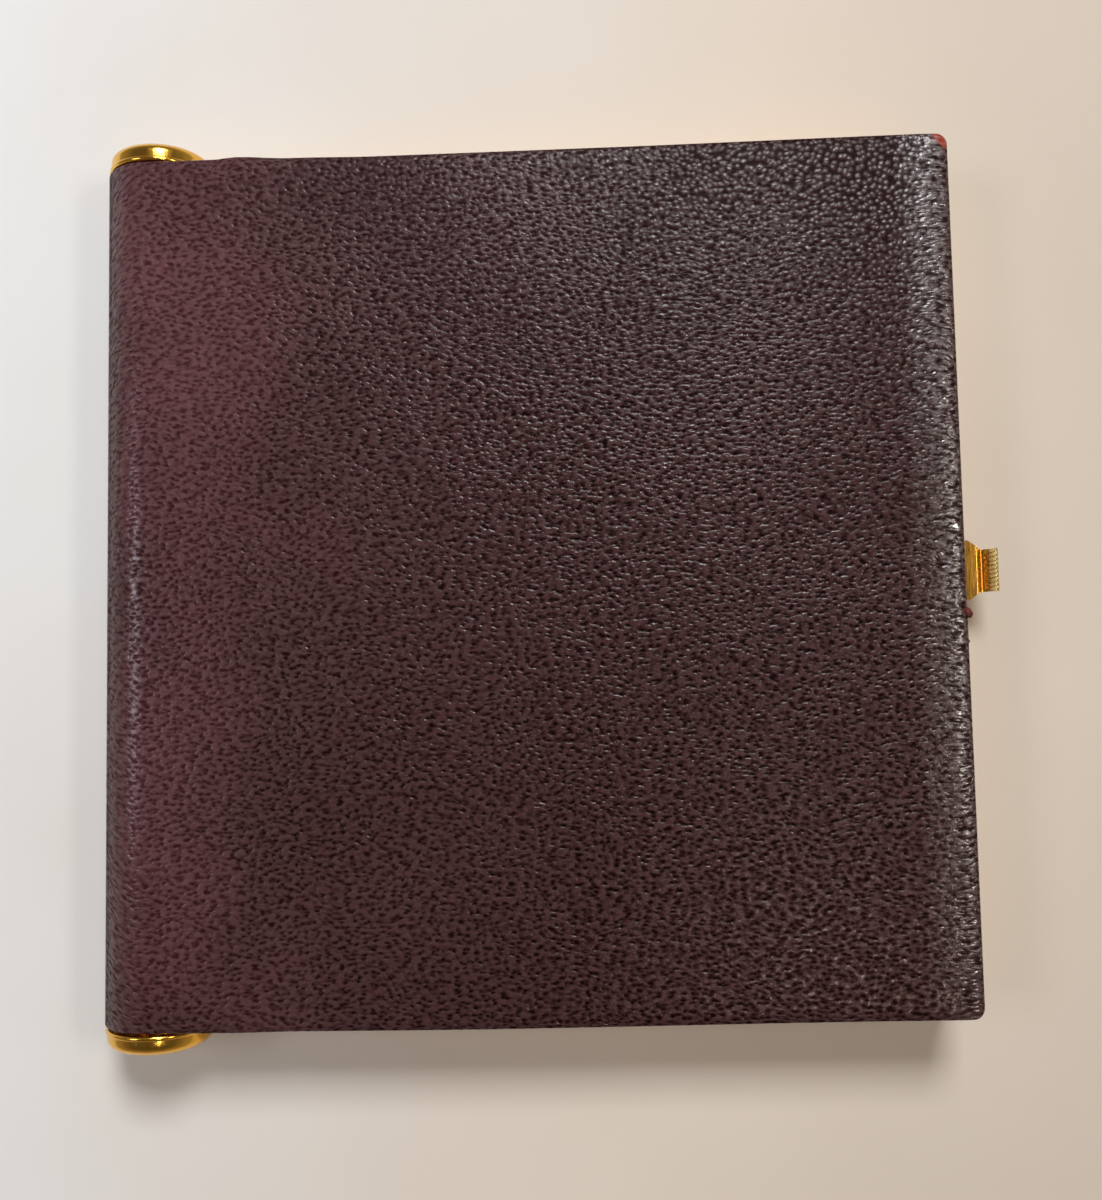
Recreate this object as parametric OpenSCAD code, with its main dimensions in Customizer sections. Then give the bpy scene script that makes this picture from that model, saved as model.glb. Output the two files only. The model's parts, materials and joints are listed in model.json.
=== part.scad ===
// Book-shaped makeup case: a leather-covered brass tray and lid on a long hinge,
// with a lipstick in the tube of the spine. Millimetres, +Z up, the spine along Y,
// the free edge towards +X, and the origin under the middle of the closed case.

/* [Case] */
// Width from the face of the spine to the free edge
case_w = 94; // [88:0.5:110]
// Length along the spine
case_l = 94; // [90:0.5:120]
// Thickness when closed, from leather to leather
case_t = 11.6; // [11.4:0.1:13]
// Thickness of the covering leather
leather_t = 0.8; // [0.6:0.05:1]
// Thickness of the brass sheet of tray and lid
sheet_t = 0.6; // [0.4:0.05:0.7]
// Height of the plane where the lid meets the tray
part_z = 6.8; // [6.6:0.1:7.2]
// Gap between the rims of the closed tray and lid
seam_gap = 0.2; // [0.1:0.05:0.3]
// How far the brass walls stand back under the leather's edge
edge_inset = 0.35; // [0.2:0.05:0.6]
// Corner radius of the brass walls
corner_r = 1.2; // [0.7:0.1:2.5]
// Extra length of the leather at each end of the spine
flare = 0.45; // [0:0.05:0.8]
// Distance from the hinge over which that extra length runs out
flare_run = 10; // [5:1:20]
// Radius of the leather's corners at the free edge
cover_r = 1.2; // [0.6:0.1:2]

/* [Spine and caps] */
// Wall of the spine's tube
barrel_wall = 0.45; // [0.3:0.05:0.6]
// How far the tube stands back from the leather's end
barrel_back = 0.15; // [0:0.05:0.5]
// Film of solder between the tube and its rail
solder = 0.02; // [0.01:0.01:0.05]
// Thickness of the rail's upper and lower horns at their ends
horn_t = 0.42; // [0.4:0.02:0.6]
// Radius of the domed end caps
cap_r = 5.75; // [5.1:0.05:5.8]
// Length of the straight rim of a cap
cap_rim = 1.2; // [0.6:0.05:1.5]
// Height of a cap's dome over its rim
cap_dome = 1.8; // [1:0.05:3]
// Radius of the rolled bead around a cap's rim
bead_r = 0.3; // [0.2:0.05:0.4]
// Gap between a cap and the end of the leather
cap_gap = 0.2; // [0.05:0.05:0.3]
// Length of the plug that holds the fixed cap in the tube
plug_l = 6; // [4:0.5:12]

/* [Lid hinge] */
// Distance from the face of the spine to the hinge's axis
hinge_x = 12.5; // [12.3:0.1:16]
// Radius of the knuckles
knuckle_r = 0.65; // [0.6:0.05:0.8]
// Radius of the hinge pin
pin_r = 0.35; // [0.25:0.05:0.4]
// Radial clearance of a turning piece on its pin
run_gap = 0.05; // [0.03:0.01:0.08]
// Number of knuckles, which alternate between tray and lid
knuckles = 13; // [7:2:19]
// Gap between neighbouring knuckles
knuckle_gap = 0.2; // [0.15:0.05:0.4]
// Length of leather at each end that the hinge leaves free
hinge_end = 1.5; // [1.2:0.1:4]
// Thickness of the hinge leaves
leaf_t = 0.4; // [0.3:0.05:0.45]
// Width of the tray's leaf
leaf_w = 3.1; // [2:0.1:3.3]
// Height of the lid's leaf
leaf_h = 2.2; // [1.5:0.1:2.6]
// Gap between a knuckle and the edge of the other leaf
leaf_gap = 0.1; // [0.08:0.01:0.2]
// Distance from the axis to the outside of the tray's back wall
tray_setback = 1.1; // [1:0.05:1.2]
// Distance from the axis to the outside of the lid's back wall
lid_setback = 1; // [0.95:0.05:1.3]
// Half the width of the leather that bends over the hinge
crease = 2.4; // [2.2:0.1:4]

/* [Deck and powder] */
// Thickness of the deck plate and of the powder door
deck_t = 0.5; // [0.3:0.05:0.6]
// Gap between the tray's walls and the deck
deck_gap = 0.25; // [0.1:0.05:0.4]
// Depth of the deck below the tray's rim
deck_drop = 0.1; // [0.05:0.05:0.3]
// Distance from the lid hinge's axis to the powder door's axis
door_x = 5.8; // [5.6:0.1:9]
// Distance from the powder door's free edge to the inside of the front wall
door_front = 6.75; // [6.5:0.25:12]
// Width of the deck's strip between the powder door and the applicator's trough
door_strip = 2.4; // [2.2:0.1:4]
// Distance from the tray's lower end wall to the powder door
door_y = 3.2; // [2.8:0.1:6]
// Gap around the powder door
door_gap = 0.3; // [0.2:0.05:0.5]
// Radius of the powder door's knuckles
door_knuckle_r = 0.5; // [0.45:0.05:0.55]
// Radius of the powder door's pin
door_pin_r = 0.22; // [0.15:0.01:0.25]
// Number of knuckles of the powder door's hinge
door_knuckles = 7; // [5:2:11]
// Radius of the finger notch in front of the powder door
notch_r = 3.2; // [2:0.1:4]
// Wall of the pressed pans
pan_t = 0.35; // [0.25:0.05:0.45]
// Width of the well's ledge that the powder door lies on
ledge_w = 1.5; // [1:0.1:2.5]
// Width of the step that carries the sifter
step_w = 0.8; // [0.5:0.1:1.2]
// Height of that step above the well's floor
step_h = 1.55; // [1.2:0.05:1.8]
// Depth of the powder
powder_t = 1.2; // [0.6:0.05:1.3]
// Height and width of the sifter's rim
sifter_t = 0.4; // [0.3:0.05:0.5]
// Thickness of the sifter's net
net_t = 0.12; // [0.1:0.01:0.2]
// Thickness of the puff
puff_t = 1.7; // [1.2:0.05:1.8]
// Gap between the puff and the well's walls
puff_gap = 2; // [1:0.5:6]
// Width of the puff's ribbon
ribbon_w = 7; // [4:0.5:12]
// Thickness of the puff's ribbon
ribbon_t = 0.2; // [0.15:0.05:0.25]
// Width of the leaf spring that lifts the powder door
lift_w = 5; // [3:0.5:8]
// Distance from the well's back wall to the line where that spring meets the door
lift_reach = 4.6; // [3:0.1:8]
// Thickness of the flat springs
spring_t = 0.2; // [0.15:0.01:0.25]

/* [Colour pans and applicator] */
// Width of the strip of deck between two pans
bridge = 3; // [2:0.1:5]
// Share of the colour pans' width that the rouge takes
rouge_share = 0.48; // [0.35:0.01:0.6]
// Length of both colour pans along the spine
colour_l = 18.5; // [14:0.5:19]
// Depth of the colour pans below the deck's top
colour_d = 3.2; // [2:0.1:4]
// Width of a pan's rim that lies on the deck
rim_w = 0.8; // [0.6:0.1:1]
// Thickness of that rim
rim_t = 0.2; // [0.15:0.05:0.25]
// Gap between the rims of neighbouring pans
rim_gap = 0.6; // [0.4:0.1:2]
// Gap between a pan's wall and its hole in the deck
hole_gap = 0.1; // [0.05:0.05:0.2]
// Distance of the cakes' faces below the deck's top
cake_drop = 0.4; // [0.2:0.1:1]
// Width of the applicator's trough
trough_l = 4.9; // [4:0.1:5]
// Depth of the applicator's trough below the deck's top
trough_d = 2.4; // [1.5:0.1:3.5]
// Distance from the applicator's tips to the ends of its trough
tip_room = 4.75; // [3:0.25:8]
// Radius of the applicator's handle
handle_r = 0.9; // [0.6:0.1:1.2]
// Radius of the applicator's sponge tips
tip_r = 1.5; // [1.2:0.1:1.6]
// Length of a sponge tip
tip_l = 9; // [6:0.5:12]

/* [Mirror] */
// Thickness of the mirror glass
mirror_t = 1.1; // [0.8:0.1:1.2]
// Thickness of the card behind the mirror
card_t = 0.15; // [0.1:0.05:0.2]
// Thickness of the mirror's frame
frame_t = 0.4; // [0.3:0.05:0.5]
// Width of the frame's border over the glass
border_w = 3.2; // [2:0.1:4]
// Gap between the frame and the lid's side walls
frame_gap = 0.8; // [0.5:0.1:2]
// Distance from the hinge's axis to the mirror's frame
frame_back = 4.1; // [3.9:0.1:6]
// Distance from the frame to the lid's front wall
frame_front = 2.7; // [2.6:0.1:4]
// Radius of the rubber buttons that hold the powder door down
button_r = 0.9; // [0.6:0.1:1.2]
// Distance of the buttons from the powder door's free edge
button_back = 1.5; // [1.3:0.1:2]
// Gap between a button and the closed powder door
button_gap = 0.1; // [0.05:0.05:0.2]

/* [Clasp] */
// Width of the tongue where it leaves the case
tongue_w = 6.6; // [5:0.1:9]
// Width of the tongue at its lip
lip_w = 4.7; // [3:0.1:8]
// Thickness of the clasp's sheet
clasp_t = 0.45; // [0.4:0.05:0.5]
// Height of the tongue's middle below the seam
tongue_drop = 1.05; // [0.9:0.05:1.2]
// Length of the tongue's level part outside the leather
tongue_flat = 2.7; // [0.6:0.05:3]
// Fall of the tongue's trough
trough_fall = 1.05; // [0.6:0.05:1.3]
// Rise of the upturned lip
lip_rise = 1.15; // [0.8:0.05:1.4]
// Gap around the tongue in the slot of the front wall
tongue_gap = 0.3; // [0.2:0.05:0.5]
// Number of grooves across the lip
grooves = 9; // [5:2:13]
// Width of a groove
groove_w = 0.2; // [0.12:0.02:0.28]
// Depth of a groove
groove_d = 0.12; // [0.08:0.01:0.18]
// Height of the clasp's pivot over the tray's floor
pivot_h = 1.5; // [1.4:0.05:1.8]
// Distance of the pivot from the inside of the front wall
pivot_back = 1.85; // [1.8:0.05:2.1]
// Radius of the clasp's pin
clasp_pin_r = 0.4; // [0.3:0.05:0.45]
// Radius of the clasp's eye around the pin
eye_r = 0.9; // [0.8:0.05:1]
// Gap between the hook and the striker
hook_gap = 0.1; // [0.05:0.05:0.15]
// Overlap of the hook over the striker
hook_bite = 0.4; // [0.3:0.05:0.45]
// Length of the tail that the clasp's spring bears on
tail_l = 1.5; // [1:0.1:2]
// Reach of the striker from the lid's front wall
striker_w = 0.65; // [0.55:0.05:0.7]
// Thickness of the striker and of the hook
striker_t = 0.35; // [0.3:0.05:0.4]
// Width of each of the two straps that the striker hangs from
strap_w = 3; // [2:0.5:5]

/* [Lipstick] */
// Length of the lipstick's case
lipstick_l = 56; // [50:1:60]
// Radial clearance of the sliding and turning tubes
slide_gap = 0.08; // [0.05:0.01:0.1]
// Wall of the lipstick's case
case_wall = 0.3; // [0.25:0.05:0.35]
// Wall of the tube with the spiral slots
spiral_wall = 0.4; // [0.35:0.05:0.5]
// Wall of the tube with the straight slots
slot_wall = 0.3; // [0.25:0.05:0.35]
// Wall of the cup that holds the lipstick's stick
cup_wall = 0.25; // [0.2:0.05:0.3]
// Rise of the stick for a full turn of the cap
pitch = 12; // [10:0.5:12]
// Travel of the stick
travel = 18; // [12:0.5:20]
// Diameter of the cup's two lugs
lug_d = 0.9; // [0.7:0.05:1]
// Clearance around a lug in its slots
lug_gap = 0.12; // [0.1:0.01:0.15]
// Distance of the cup's floor from the end of the lipstick's case
cup_s = 24; // [20:0.5:26]
// Depth of the cup
cup_l = 12; // [8:0.5:14]
// Length of the stick
stick_l = 29; // [24:0.5:30]
// Length of the knob's spigot in the slotted tube
spigot_l = 8; // [5:0.5:12]
// Thickness of the split ring that holds the slotted tube in the case
ring_t = 0.5; // [0.4:0.05:0.6]

/* [Hidden] */

$fn = 64;

// Overlap of joined shapes, reach of a cut past its solid, and the small clearances
eps = 0.01;
over = 1;
film = 0.02;
rest_gap = 0.05;
fit_gap = 0.1;

// Colours of the materials
brass = "goldenrod";
bright_brass = "gold";
leather = "#3f2527";

// Outer faces of the case, the tube's centre and the hinge's axis
x_spine = -case_w / 2;
x_free = case_w / 2;
x_barrel = x_spine + case_t / 2;
z_barrel = case_t / 2;
half_spine = case_l / 2 + flare;
barrel_r = case_t / 2 - leather_t;
bore_r = barrel_r - barrel_wall;
x_hinge = x_spine + hinge_x;
z_hinge = case_t - leather_t - knuckle_r;
half_hinge = case_l / 2 - hinge_end;

// Tray and lid
z_floor = leather_t + sheet_t;
z_plate = case_t - leather_t - sheet_t;
tray_top = part_z - seam_gap / 2;
lid_bottom = part_z + seam_gap / 2;
x_back = x_hinge - tray_setback;
x_lid = x_hinge + lid_setback;
x_front = x_free - edge_inset;
x_front_in = x_front - sheet_t;
half_wall = case_l / 2 - edge_inset;
half_in = half_wall - sheet_t;
back_gap = 0.4;
lid_swing = 0.6;
back_top = z_hinge - knuckle_r - lid_swing;

// Hinge leaves
knuckle_step = 2 * half_hinge / knuckles;
x_leaf_end = x_hinge - knuckle_r - leaf_gap;
z_leaf_end = z_hinge - knuckle_r - leaf_gap;

// Deck and the hinge of the powder door
deck_top = tray_top - deck_drop;
deck_under = deck_top - deck_t;
deck_x0 = x_back + sheet_t + deck_gap;
deck_x1 = x_front_in - deck_gap;
deck_half = half_in - deck_gap;
x_door = x_hinge + door_x;
z_door = deck_top - door_knuckle_r;

// Across the deck: the door's opening, the pans and the applicator
door_x0 = x_door + door_knuckle_r + door_gap;
door_x1 = x_front_in - door_front;
open_x0 = x_door - door_knuckle_r - door_gap;
open_x1 = door_x1 + door_gap;
pan_x0 = open_x0 + rim_w;
pan_x1 = open_x1 - rim_w;
rouge_x1 = pan_x0 + rouge_share * (pan_x1 - pan_x0 - bridge);
shadow_x0 = rouge_x1 + bridge;
applicator_l = pan_x1 - pan_x0 - 2 * tip_room;
applicator_x = (pan_x0 + pan_x1) / 2;

// Along the deck from its upper end: colour pans, trough and powder door
colour_y1 = half_in - door_y;
colour_y0 = colour_y1 - colour_l;
trough_y1 = colour_y0 - 2 * rim_w - rim_gap;
trough_y0 = trough_y1 - trough_l;
open_y1 = trough_y0 - door_strip;
door_y1 = open_y1 - door_gap;
door_y0 = -half_in + door_y;
open_y0 = door_y0 - door_gap;
door_l = door_y1 - door_y0;
door_step = (door_l - 2 * door_gap) / door_knuckles;
applicator_y = (trough_y0 + trough_y1) / 2;
applicator_z = deck_top - trough_d + pan_t + tip_r;
pan_r = 1.5;

// Powder well
well_x0 = open_x0 + ledge_w;
well_x1 = open_x1 - ledge_w;
well_y0 = open_y0 + ledge_w;
well_y1 = open_y1 - ledge_w;
well_r = 2;
ledge_drop = 0.15;
ledge_top = deck_under - ledge_drop;
gutter_z = z_door - door_knuckle_r - ledge_drop;
z_step = z_floor + pan_t + step_h;
z_sifter = z_step + sifter_t;

// Mirror and its frame
card_z = z_plate - card_t;
mirror_z = card_z - mirror_t;
frame_z = mirror_z - frame_t;
frame_x0 = x_hinge + frame_back;
frame_x1 = x_front_in - frame_front;
frame_half = half_in - frame_gap;
glass_r = 1;

// Clasp: its pivot, its upright plate and the levels of hook, striker and tongue
x_pivot = x_front_in - pivot_back;
z_pivot = z_floor + pivot_h;
x_plate1 = x_front_in - striker_w - fit_gap;
x_plate0 = x_plate1 - clasp_t;
striker_lift = 0.15;
z_striker = lid_bottom + striker_lift;
z_hook = z_striker + striker_t + hook_gap;
z_tongue = part_z - tongue_drop;
shoulder = 0.7;
clasp_half = tongue_w / 2 + shoulder;
ear_t = 0.6;
ear_gap = 0.15;
slope_run = 0.8;
trough_run = 0.4;
lip_run = 1;
tongue_path = [
    [x_plate0 + clasp_t / 2, z_tongue],
    [x_free + tongue_flat, z_tongue],
    [x_free + tongue_flat + slope_run, z_tongue - trough_fall],
    [x_free + tongue_flat + slope_run + trough_run, z_tongue - trough_fall],
    [x_free + tongue_flat + slope_run + trough_run + lip_run,
     z_tongue - trough_fall + lip_rise]
];

// Lipstick: radii from outside to inside, and stations along the tube from its open end
lip_case_r = bore_r - slide_gap;
spiral_r = lip_case_r - case_wall - solder;
slotted_r = spiral_r - spiral_wall - slide_gap;
cup_r = slotted_r - slot_wall - slide_gap;
stick_r = cup_r - cup_wall - solder;
lip_back = 0.2;
turn_in = 0.4;
ring_s = lip_back + turn_in + slide_gap;
spiral_back = 2;
slot_back = 1.5;
cup_floor = 0.6;
lug_up = 2;
lug_s = cup_s + lug_up;
lug_root = 0.15;
slot_w = lug_d + 2 * lug_gap;

// A straight-sided outline whose two corners at the free edge are round
module outline(x0, x1, half, r) {
    translate([x0, -half]) square([x1 - x0 - r, 2 * half]);
    translate([x0, -half + r]) square([x1 - x0, 2 * (half - r)]);
    for (side = [-1, 1])
        translate([x1 - r, side * (half - r)]) circle(r);
}

// A rectangle with four round corners
module rounded(x0, x1, y0, y1, r) {
    translate([x0 + r, y0]) square([x1 - x0 - 2 * r, y1 - y0]);
    translate([x0, y0 + r]) square([x1 - x0, y1 - y0 - 2 * r]);
    for (x = [x0 + r, x1 - r], y = [y0 + r, y1 - r])
        translate([x, y]) circle(r);
}

// A plate of that outline between two heights
module slab(x0, x1, y0, y1, z0, z1, r) {
    translate([0, 0, z0]) linear_extrude(z1 - z0) rounded(x0, x1, y0, y1, r);
}

// A cylinder along the spine from y0 to y1
module rod(x, z, r, y0, y1) {
    translate([x, y0, z]) rotate([-90, 0, 0]) cylinder(r = r, h = y1 - y0);
}

// A cylinder on the spine tube's own axis
module barrel_rod(r, y0, y1) {
    rod(x_barrel, z_barrel, r, y0, y1);
}

// A flat strip of metal bent along a path in the X-Z plane
module bent_strip(path, t, width) {
    translate([0, width / 2, 0]) rotate([90, 0, 0]) linear_extrude(width)
        for (i = [0 : len(path) - 2]) {
            run = path[i + 1] - path[i];
            translate(path[i]) {
                rotate(atan2(run[1], run[0])) translate([0, -t / 2]) square([norm(run), t]);
                circle(t / 2);
            }
            translate(path[i + 1]) circle(t / 2);
        }
}

// Half of the leather's plan, wider where it meets the spine
module leather_plan(x0, x1) {
    x_run = x_hinge + flare_run;
    bend = min(max(x_run, x0 + eps), x1 - eps);
    difference() {
        polygon([
            [x0, -half_spine], [bend, -case_l / 2], [x1, -case_l / 2],
            [x1, case_l / 2], [bend, case_l / 2], [x0, half_spine]
        ]);
        for (side = [-1, 1])
            translate([x1 - cover_r, side * (case_l / 2 - cover_r)]) difference() {
                translate([0, min(0, side * case_l)]) square(case_l);
                circle(cover_r);
            }
    }
}

// Leather of the back, round the spine and up to the crease, in one piece
module back_leather() color(leather) {
    linear_extrude(leather_t) leather_plan(x_barrel, x_free);
    difference() {
        barrel_rod(case_t / 2, -half_spine, half_spine);
        barrel_rod(barrel_r, -half_spine - over, half_spine + over);
        translate([x_barrel, -half_spine - over, -over])
            cube([case_t, 2 * (half_spine + over), case_t + 2 * over]);
    }
    translate([x_barrel, -half_spine, case_t - leather_t])
        cube([x_hinge - crease - x_barrel, 2 * half_spine, leather_t]);
}

// Leather that folds in over the hinge when the lid opens
module hinge_leather() color(leather)
    translate([x_hinge - crease, -half_spine, case_t - leather_t])
        cube([2 * crease, 2 * half_spine, leather_t]);

module lid_leather() color(leather)
    translate([0, 0, case_t - leather_t])
        linear_extrude(leather_t) leather_plan(x_hinge + crease, x_free);

// Brass tray: floor, side walls, front wall with the clasp's slot, and a higher back wall
module base_tray() color(brass) difference() {
    union() {
        translate([0, 0, leather_t]) linear_extrude(tray_top - leather_t)
            outline(x_back, x_front, half_wall, corner_r);
        translate([x_back, -half_wall, leather_t])
            cube([x_lid - back_gap - x_back, 2 * half_wall, back_top - leather_t]);
    }
    translate([0, 0, z_floor]) linear_extrude(case_t)
        outline(x_back + sheet_t, x_front_in, half_in, corner_r - sheet_t);
    translate([x_front_in - over, -tongue_w / 2 - tongue_gap, z_tongue - clasp_t / 2 - tongue_gap])
        cube([sheet_t + 2 * over, tongue_w + 2 * tongue_gap, case_t]);
}

module spine_barrel() color(brass) difference() {
    barrel_rod(barrel_r, -half_spine + barrel_back, half_spine - barrel_back);
    barrel_rod(bore_r, -half_spine - over, half_spine + over);
}

// Rail that cradles the tube and carries the tray's back wall and hinge leaf
module spine_rail() color(brass) {
    horn_x = x_barrel + sqrt(pow(barrel_r, 2) - pow(barrel_r - horn_t, 2));
    difference() {
        translate([horn_x, -half_wall, leather_t])
            cube([x_back - horn_x, 2 * half_wall, case_t - 2 * leather_t]);
        barrel_rod(barrel_r + solder, -half_spine, half_spine);
        translate([x_leaf_end - leaf_w - solder, -half_spine, case_t - leather_t - leaf_t])
            cube([leaf_w * 2, 2 * half_spine, leaf_t + over]);
    }
}

// Outline of a cap in its radius and height: bead, straight rim and rounded dome
module cap_profile() {
    steps = 12;
    fullness = 0.75;
    square([cap_r - bead_r, bead_r * 2]);
    translate([cap_r - bead_r, bead_r]) circle(bead_r, $fn = 32);
    polygon(concat(
        [[0, 0], [cap_r - bead_r, 0]],
        [for (i = [0 : steps]) let (a = 90 * i / steps)
            [(cap_r - bead_r / 2) * pow(cos(a), fullness), cap_rim + cap_dome * pow(sin(a), fullness)]],
        [[0, cap_rim + cap_dome]]
    ));
}

// A domed cap on the tube's axis, at the end that side names
module cap(side) {
    translate([x_barrel, side * (half_spine + cap_gap), z_barrel])
        rotate([-90 * side, 0, 0]) rotate_extrude() cap_profile();
}

module end_cap() color(bright_brass) {
    cap(1);
    barrel_rod(bore_r - solder, half_spine + cap_gap - plug_l, half_spine + cap_gap + bead_r);
}

// Knuckles of one hinge leaf: every second one, counted from first
module knuckle_row(first) {
    for (i = [first : 2 : knuckles - 1])
        let (y0 = -half_hinge + i * knuckle_step + knuckle_gap / 2,
             y1 = -half_hinge + (i + 1) * knuckle_step - knuckle_gap / 2)
            union() {
                rod(x_hinge, z_hinge, knuckle_r, y0, y1);
                translate([0, y0, 0]) children();
            }
}

module pin_bore() {
    rod(x_hinge, z_hinge, pin_r + run_gap, -half_spine, half_spine);
}

module base_leaf() color(brass) difference() {
    union() {
        translate([x_leaf_end - leaf_w, -half_hinge, z_hinge + knuckle_r - leaf_t])
            cube([leaf_w, 2 * half_hinge, leaf_t]);
        knuckle_row(0)
            translate([x_leaf_end - eps, 0, z_hinge + knuckle_r - leaf_t])
                cube([knuckle_r + leaf_gap + eps, knuckle_step - knuckle_gap, leaf_t]);
    }
    pin_bore();
}

module lid_leaf() color(brass) difference() {
    union() {
        translate([x_lid - leaf_t, -half_hinge, z_leaf_end - leaf_h])
            cube([leaf_t, 2 * half_hinge, leaf_h]);
        knuckle_row(1)
            translate([x_lid - leaf_t, 0, z_leaf_end - eps])
                cube([leaf_t, knuckle_step - knuckle_gap, knuckle_r + leaf_gap + leaf_t / 2]);
        knuckle_row(1)
            translate([x_hinge, 0, z_hinge - leaf_t / 2])
                cube([lid_setback, knuckle_step - knuckle_gap, leaf_t]);
    }
    pin_bore();
}

module hinge_pin() color("silver")
    rod(x_hinge, z_hinge, pin_r, -half_hinge, half_hinge);

// Outline of the deck with the bay for the clasp cut from its front
module deck_plan(inset = 0) {
    bay_x = x_pivot - eye_r - tail_l - fit_gap - inset;
    bay_y = clasp_half + ear_gap + ear_t + 5 * fit_gap + inset;
    difference() {
        translate([deck_x0 + inset, -deck_half + inset])
            square([deck_x1 - deck_x0 - 2 * inset, 2 * (deck_half - inset)]);
        translate([bay_x, -bay_y]) square([case_w, 2 * bay_y]);
    }
}

// Pressed deck: a plate with openings for the pans, on a skirt that stands on the floor
module deck() color(brass) difference() {
    union() {
        translate([0, 0, deck_under]) linear_extrude(deck_t) deck_plan();
        translate([0, 0, z_floor]) linear_extrude(deck_under - z_floor) difference() {
            deck_plan();
            deck_plan(deck_t);
        }
    }
    translate([0, 0, deck_under - over]) linear_extrude(deck_t + 2 * over) {
        translate([open_x0, open_y0]) square([open_x1 - open_x0, open_y1 - open_y0]);
        translate([open_x1, (open_y0 + open_y1) / 2]) circle(notch_r);
        for (p = [[pan_x0, rouge_x1, colour_y0, colour_y1],
                  [shadow_x0, pan_x1, colour_y0, colour_y1],
                  [pan_x0, pan_x1, trough_y0, trough_y1]])
            rounded(p[0] - hole_gap, p[1] + hole_gap, p[2] - hole_gap, p[3] + hole_gap, pan_r);
    }
}

// Powder well: a flange under the deck, a deep box, a step for the sifter, and a gutter
// that leaves room for the knuckles of the powder door
module powder_well() color(brass) {
    flange = 1.1;
    difference() {
        union() {
            translate([open_x0 - pan_t, open_y0, gutter_z - pan_t])
                cube([well_x0 - open_x0 + pan_t, open_y1 - open_y0, ledge_top - gutter_z]);
            slab(open_x0 - flange, open_x1 + flange, open_y0 - flange, open_y1 + flange,
                 ledge_top - pan_t, ledge_top, well_r);
            slab(well_x0 - pan_t, well_x1 + pan_t, well_y0 - pan_t, well_y1 + pan_t,
                 z_step - pan_t, ledge_top, well_r);
            slab(well_x0 + step_w - pan_t, well_x1 - step_w + pan_t,
                 well_y0 + step_w - pan_t, well_y1 - step_w + pan_t, z_floor, z_step, well_r);
        }
        slab(well_x0, well_x1, well_y0, well_y1, z_step, ledge_top + over, well_r - pan_t);
        slab(well_x0 + step_w, well_x1 - step_w, well_y0 + step_w, well_y1 - step_w,
             z_floor + pan_t, z_step + over, well_r - pan_t);
        translate([open_x0, open_y0 + pan_t, gutter_z])
            cube([door_x0 - open_x0, open_y1 - open_y0 - 2 * pan_t, deck_t]);
    }
    difference() {
        slab(open_x0 - flange, open_x1 + flange, open_y0 - flange, open_y1 + flange,
             ledge_top - eps, deck_under, well_r);
        slab(open_x0, open_x1, open_y0, open_y1, ledge_top - over, deck_under + over, well_r);
    }
}

module powder() color("#e3bfa0")
    slab(well_x0 + step_w + fit_gap, well_x1 - step_w - fit_gap, well_y0 + step_w + fit_gap,
         well_y1 - step_w - fit_gap, z_floor + pan_t, z_floor + pan_t + powder_t, well_r - pan_t);

module sifter_frame() color(brass) {
    rim = step_w + sifter_t;
    difference() {
        slab(well_x0 + fit_gap, well_x1 - fit_gap, well_y0 + fit_gap, well_y1 - fit_gap,
             z_step, z_sifter, well_r - pan_t);
        slab(well_x0 + rim, well_x1 - rim, well_y0 + rim, well_y1 - rim,
             z_step - over, z_sifter + over, well_r - pan_t);
    }
}

// Net drawn tight under the sifter's rim
module sifter_net() color("ivory") {
    slack = step_w + fit_gap;
    slab(well_x0 + slack, well_x1 - slack, well_y0 + slack, well_y1 - slack,
         z_step - net_t, z_step, well_r - pan_t);
}

// Puff: a rounded square pillow, drawn in along its seam and crowned on both faces
module puff() {
    x0 = well_x0 + puff_gap;
    y0 = well_y0 + puff_gap;
    half_x = (well_x1 - puff_gap - x0) / 2;
    half_y = (well_y1 - puff_gap - y0) / 2;
    sides = 48;
    rings = 12;
    square_power = 0.45;
    function signed(v, p) = sign(v) * pow(abs(v), p);
    crown_power = 0.35;
    function draw_in(a) = pow(cos(a), crown_power) * (0.9 + 0.1 * cos(a));
    function ring(k) = let (a = -90 + 180 * k / rings)
        [for (i = [0 : sides - 1]) let (t = 360 * i / sides)
            [half_x * draw_in(a) * signed(cos(t), square_power),
             half_y * draw_in(a) * signed(sin(t), square_power),
             puff_t / 2 * sin(a)]];
    points = concat(
        [[0, 0, -puff_t / 2]],
        [for (k = [1 : rings - 1]) each ring(k)],
        [[0, 0, puff_t / 2]]
    );
    top = len(points) - 1;
    function at(k, i) = 1 + (k - 1) * sides + i % sides;
    faces = concat(
        [for (i = [0 : sides - 1]) [0, at(1, i), at(1, i + 1)]],
        [for (k = [1 : rings - 2], i = [0 : sides - 1]) each
            [[at(k, i), at(k + 1, i), at(k + 1, i + 1)], [at(k, i), at(k + 1, i + 1), at(k, i + 1)]]],
        [for (i = [0 : sides - 1]) [top, at(rings - 1, i + 1), at(rings - 1, i)]]
    );
    color("#ecd3c8") translate([x0 + half_x, y0 + half_y, z_sifter + rest_gap + puff_t / 2])
        polyhedron(points = points, faces = faces, convexity = 4);
}

// Ribbon that the puff is lifted by, across its upper face
module puff_ribbon() color("#c98f86") {
    share = 0.6;
    length = (well_y1 - well_y0) * share;
    translate([(well_x0 + well_x1 - ribbon_w) / 2, (well_y0 + well_y1 - length) / 2,
               z_sifter + rest_gap + puff_t])
        cube([ribbon_w, length, ribbon_t]);
}

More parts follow.
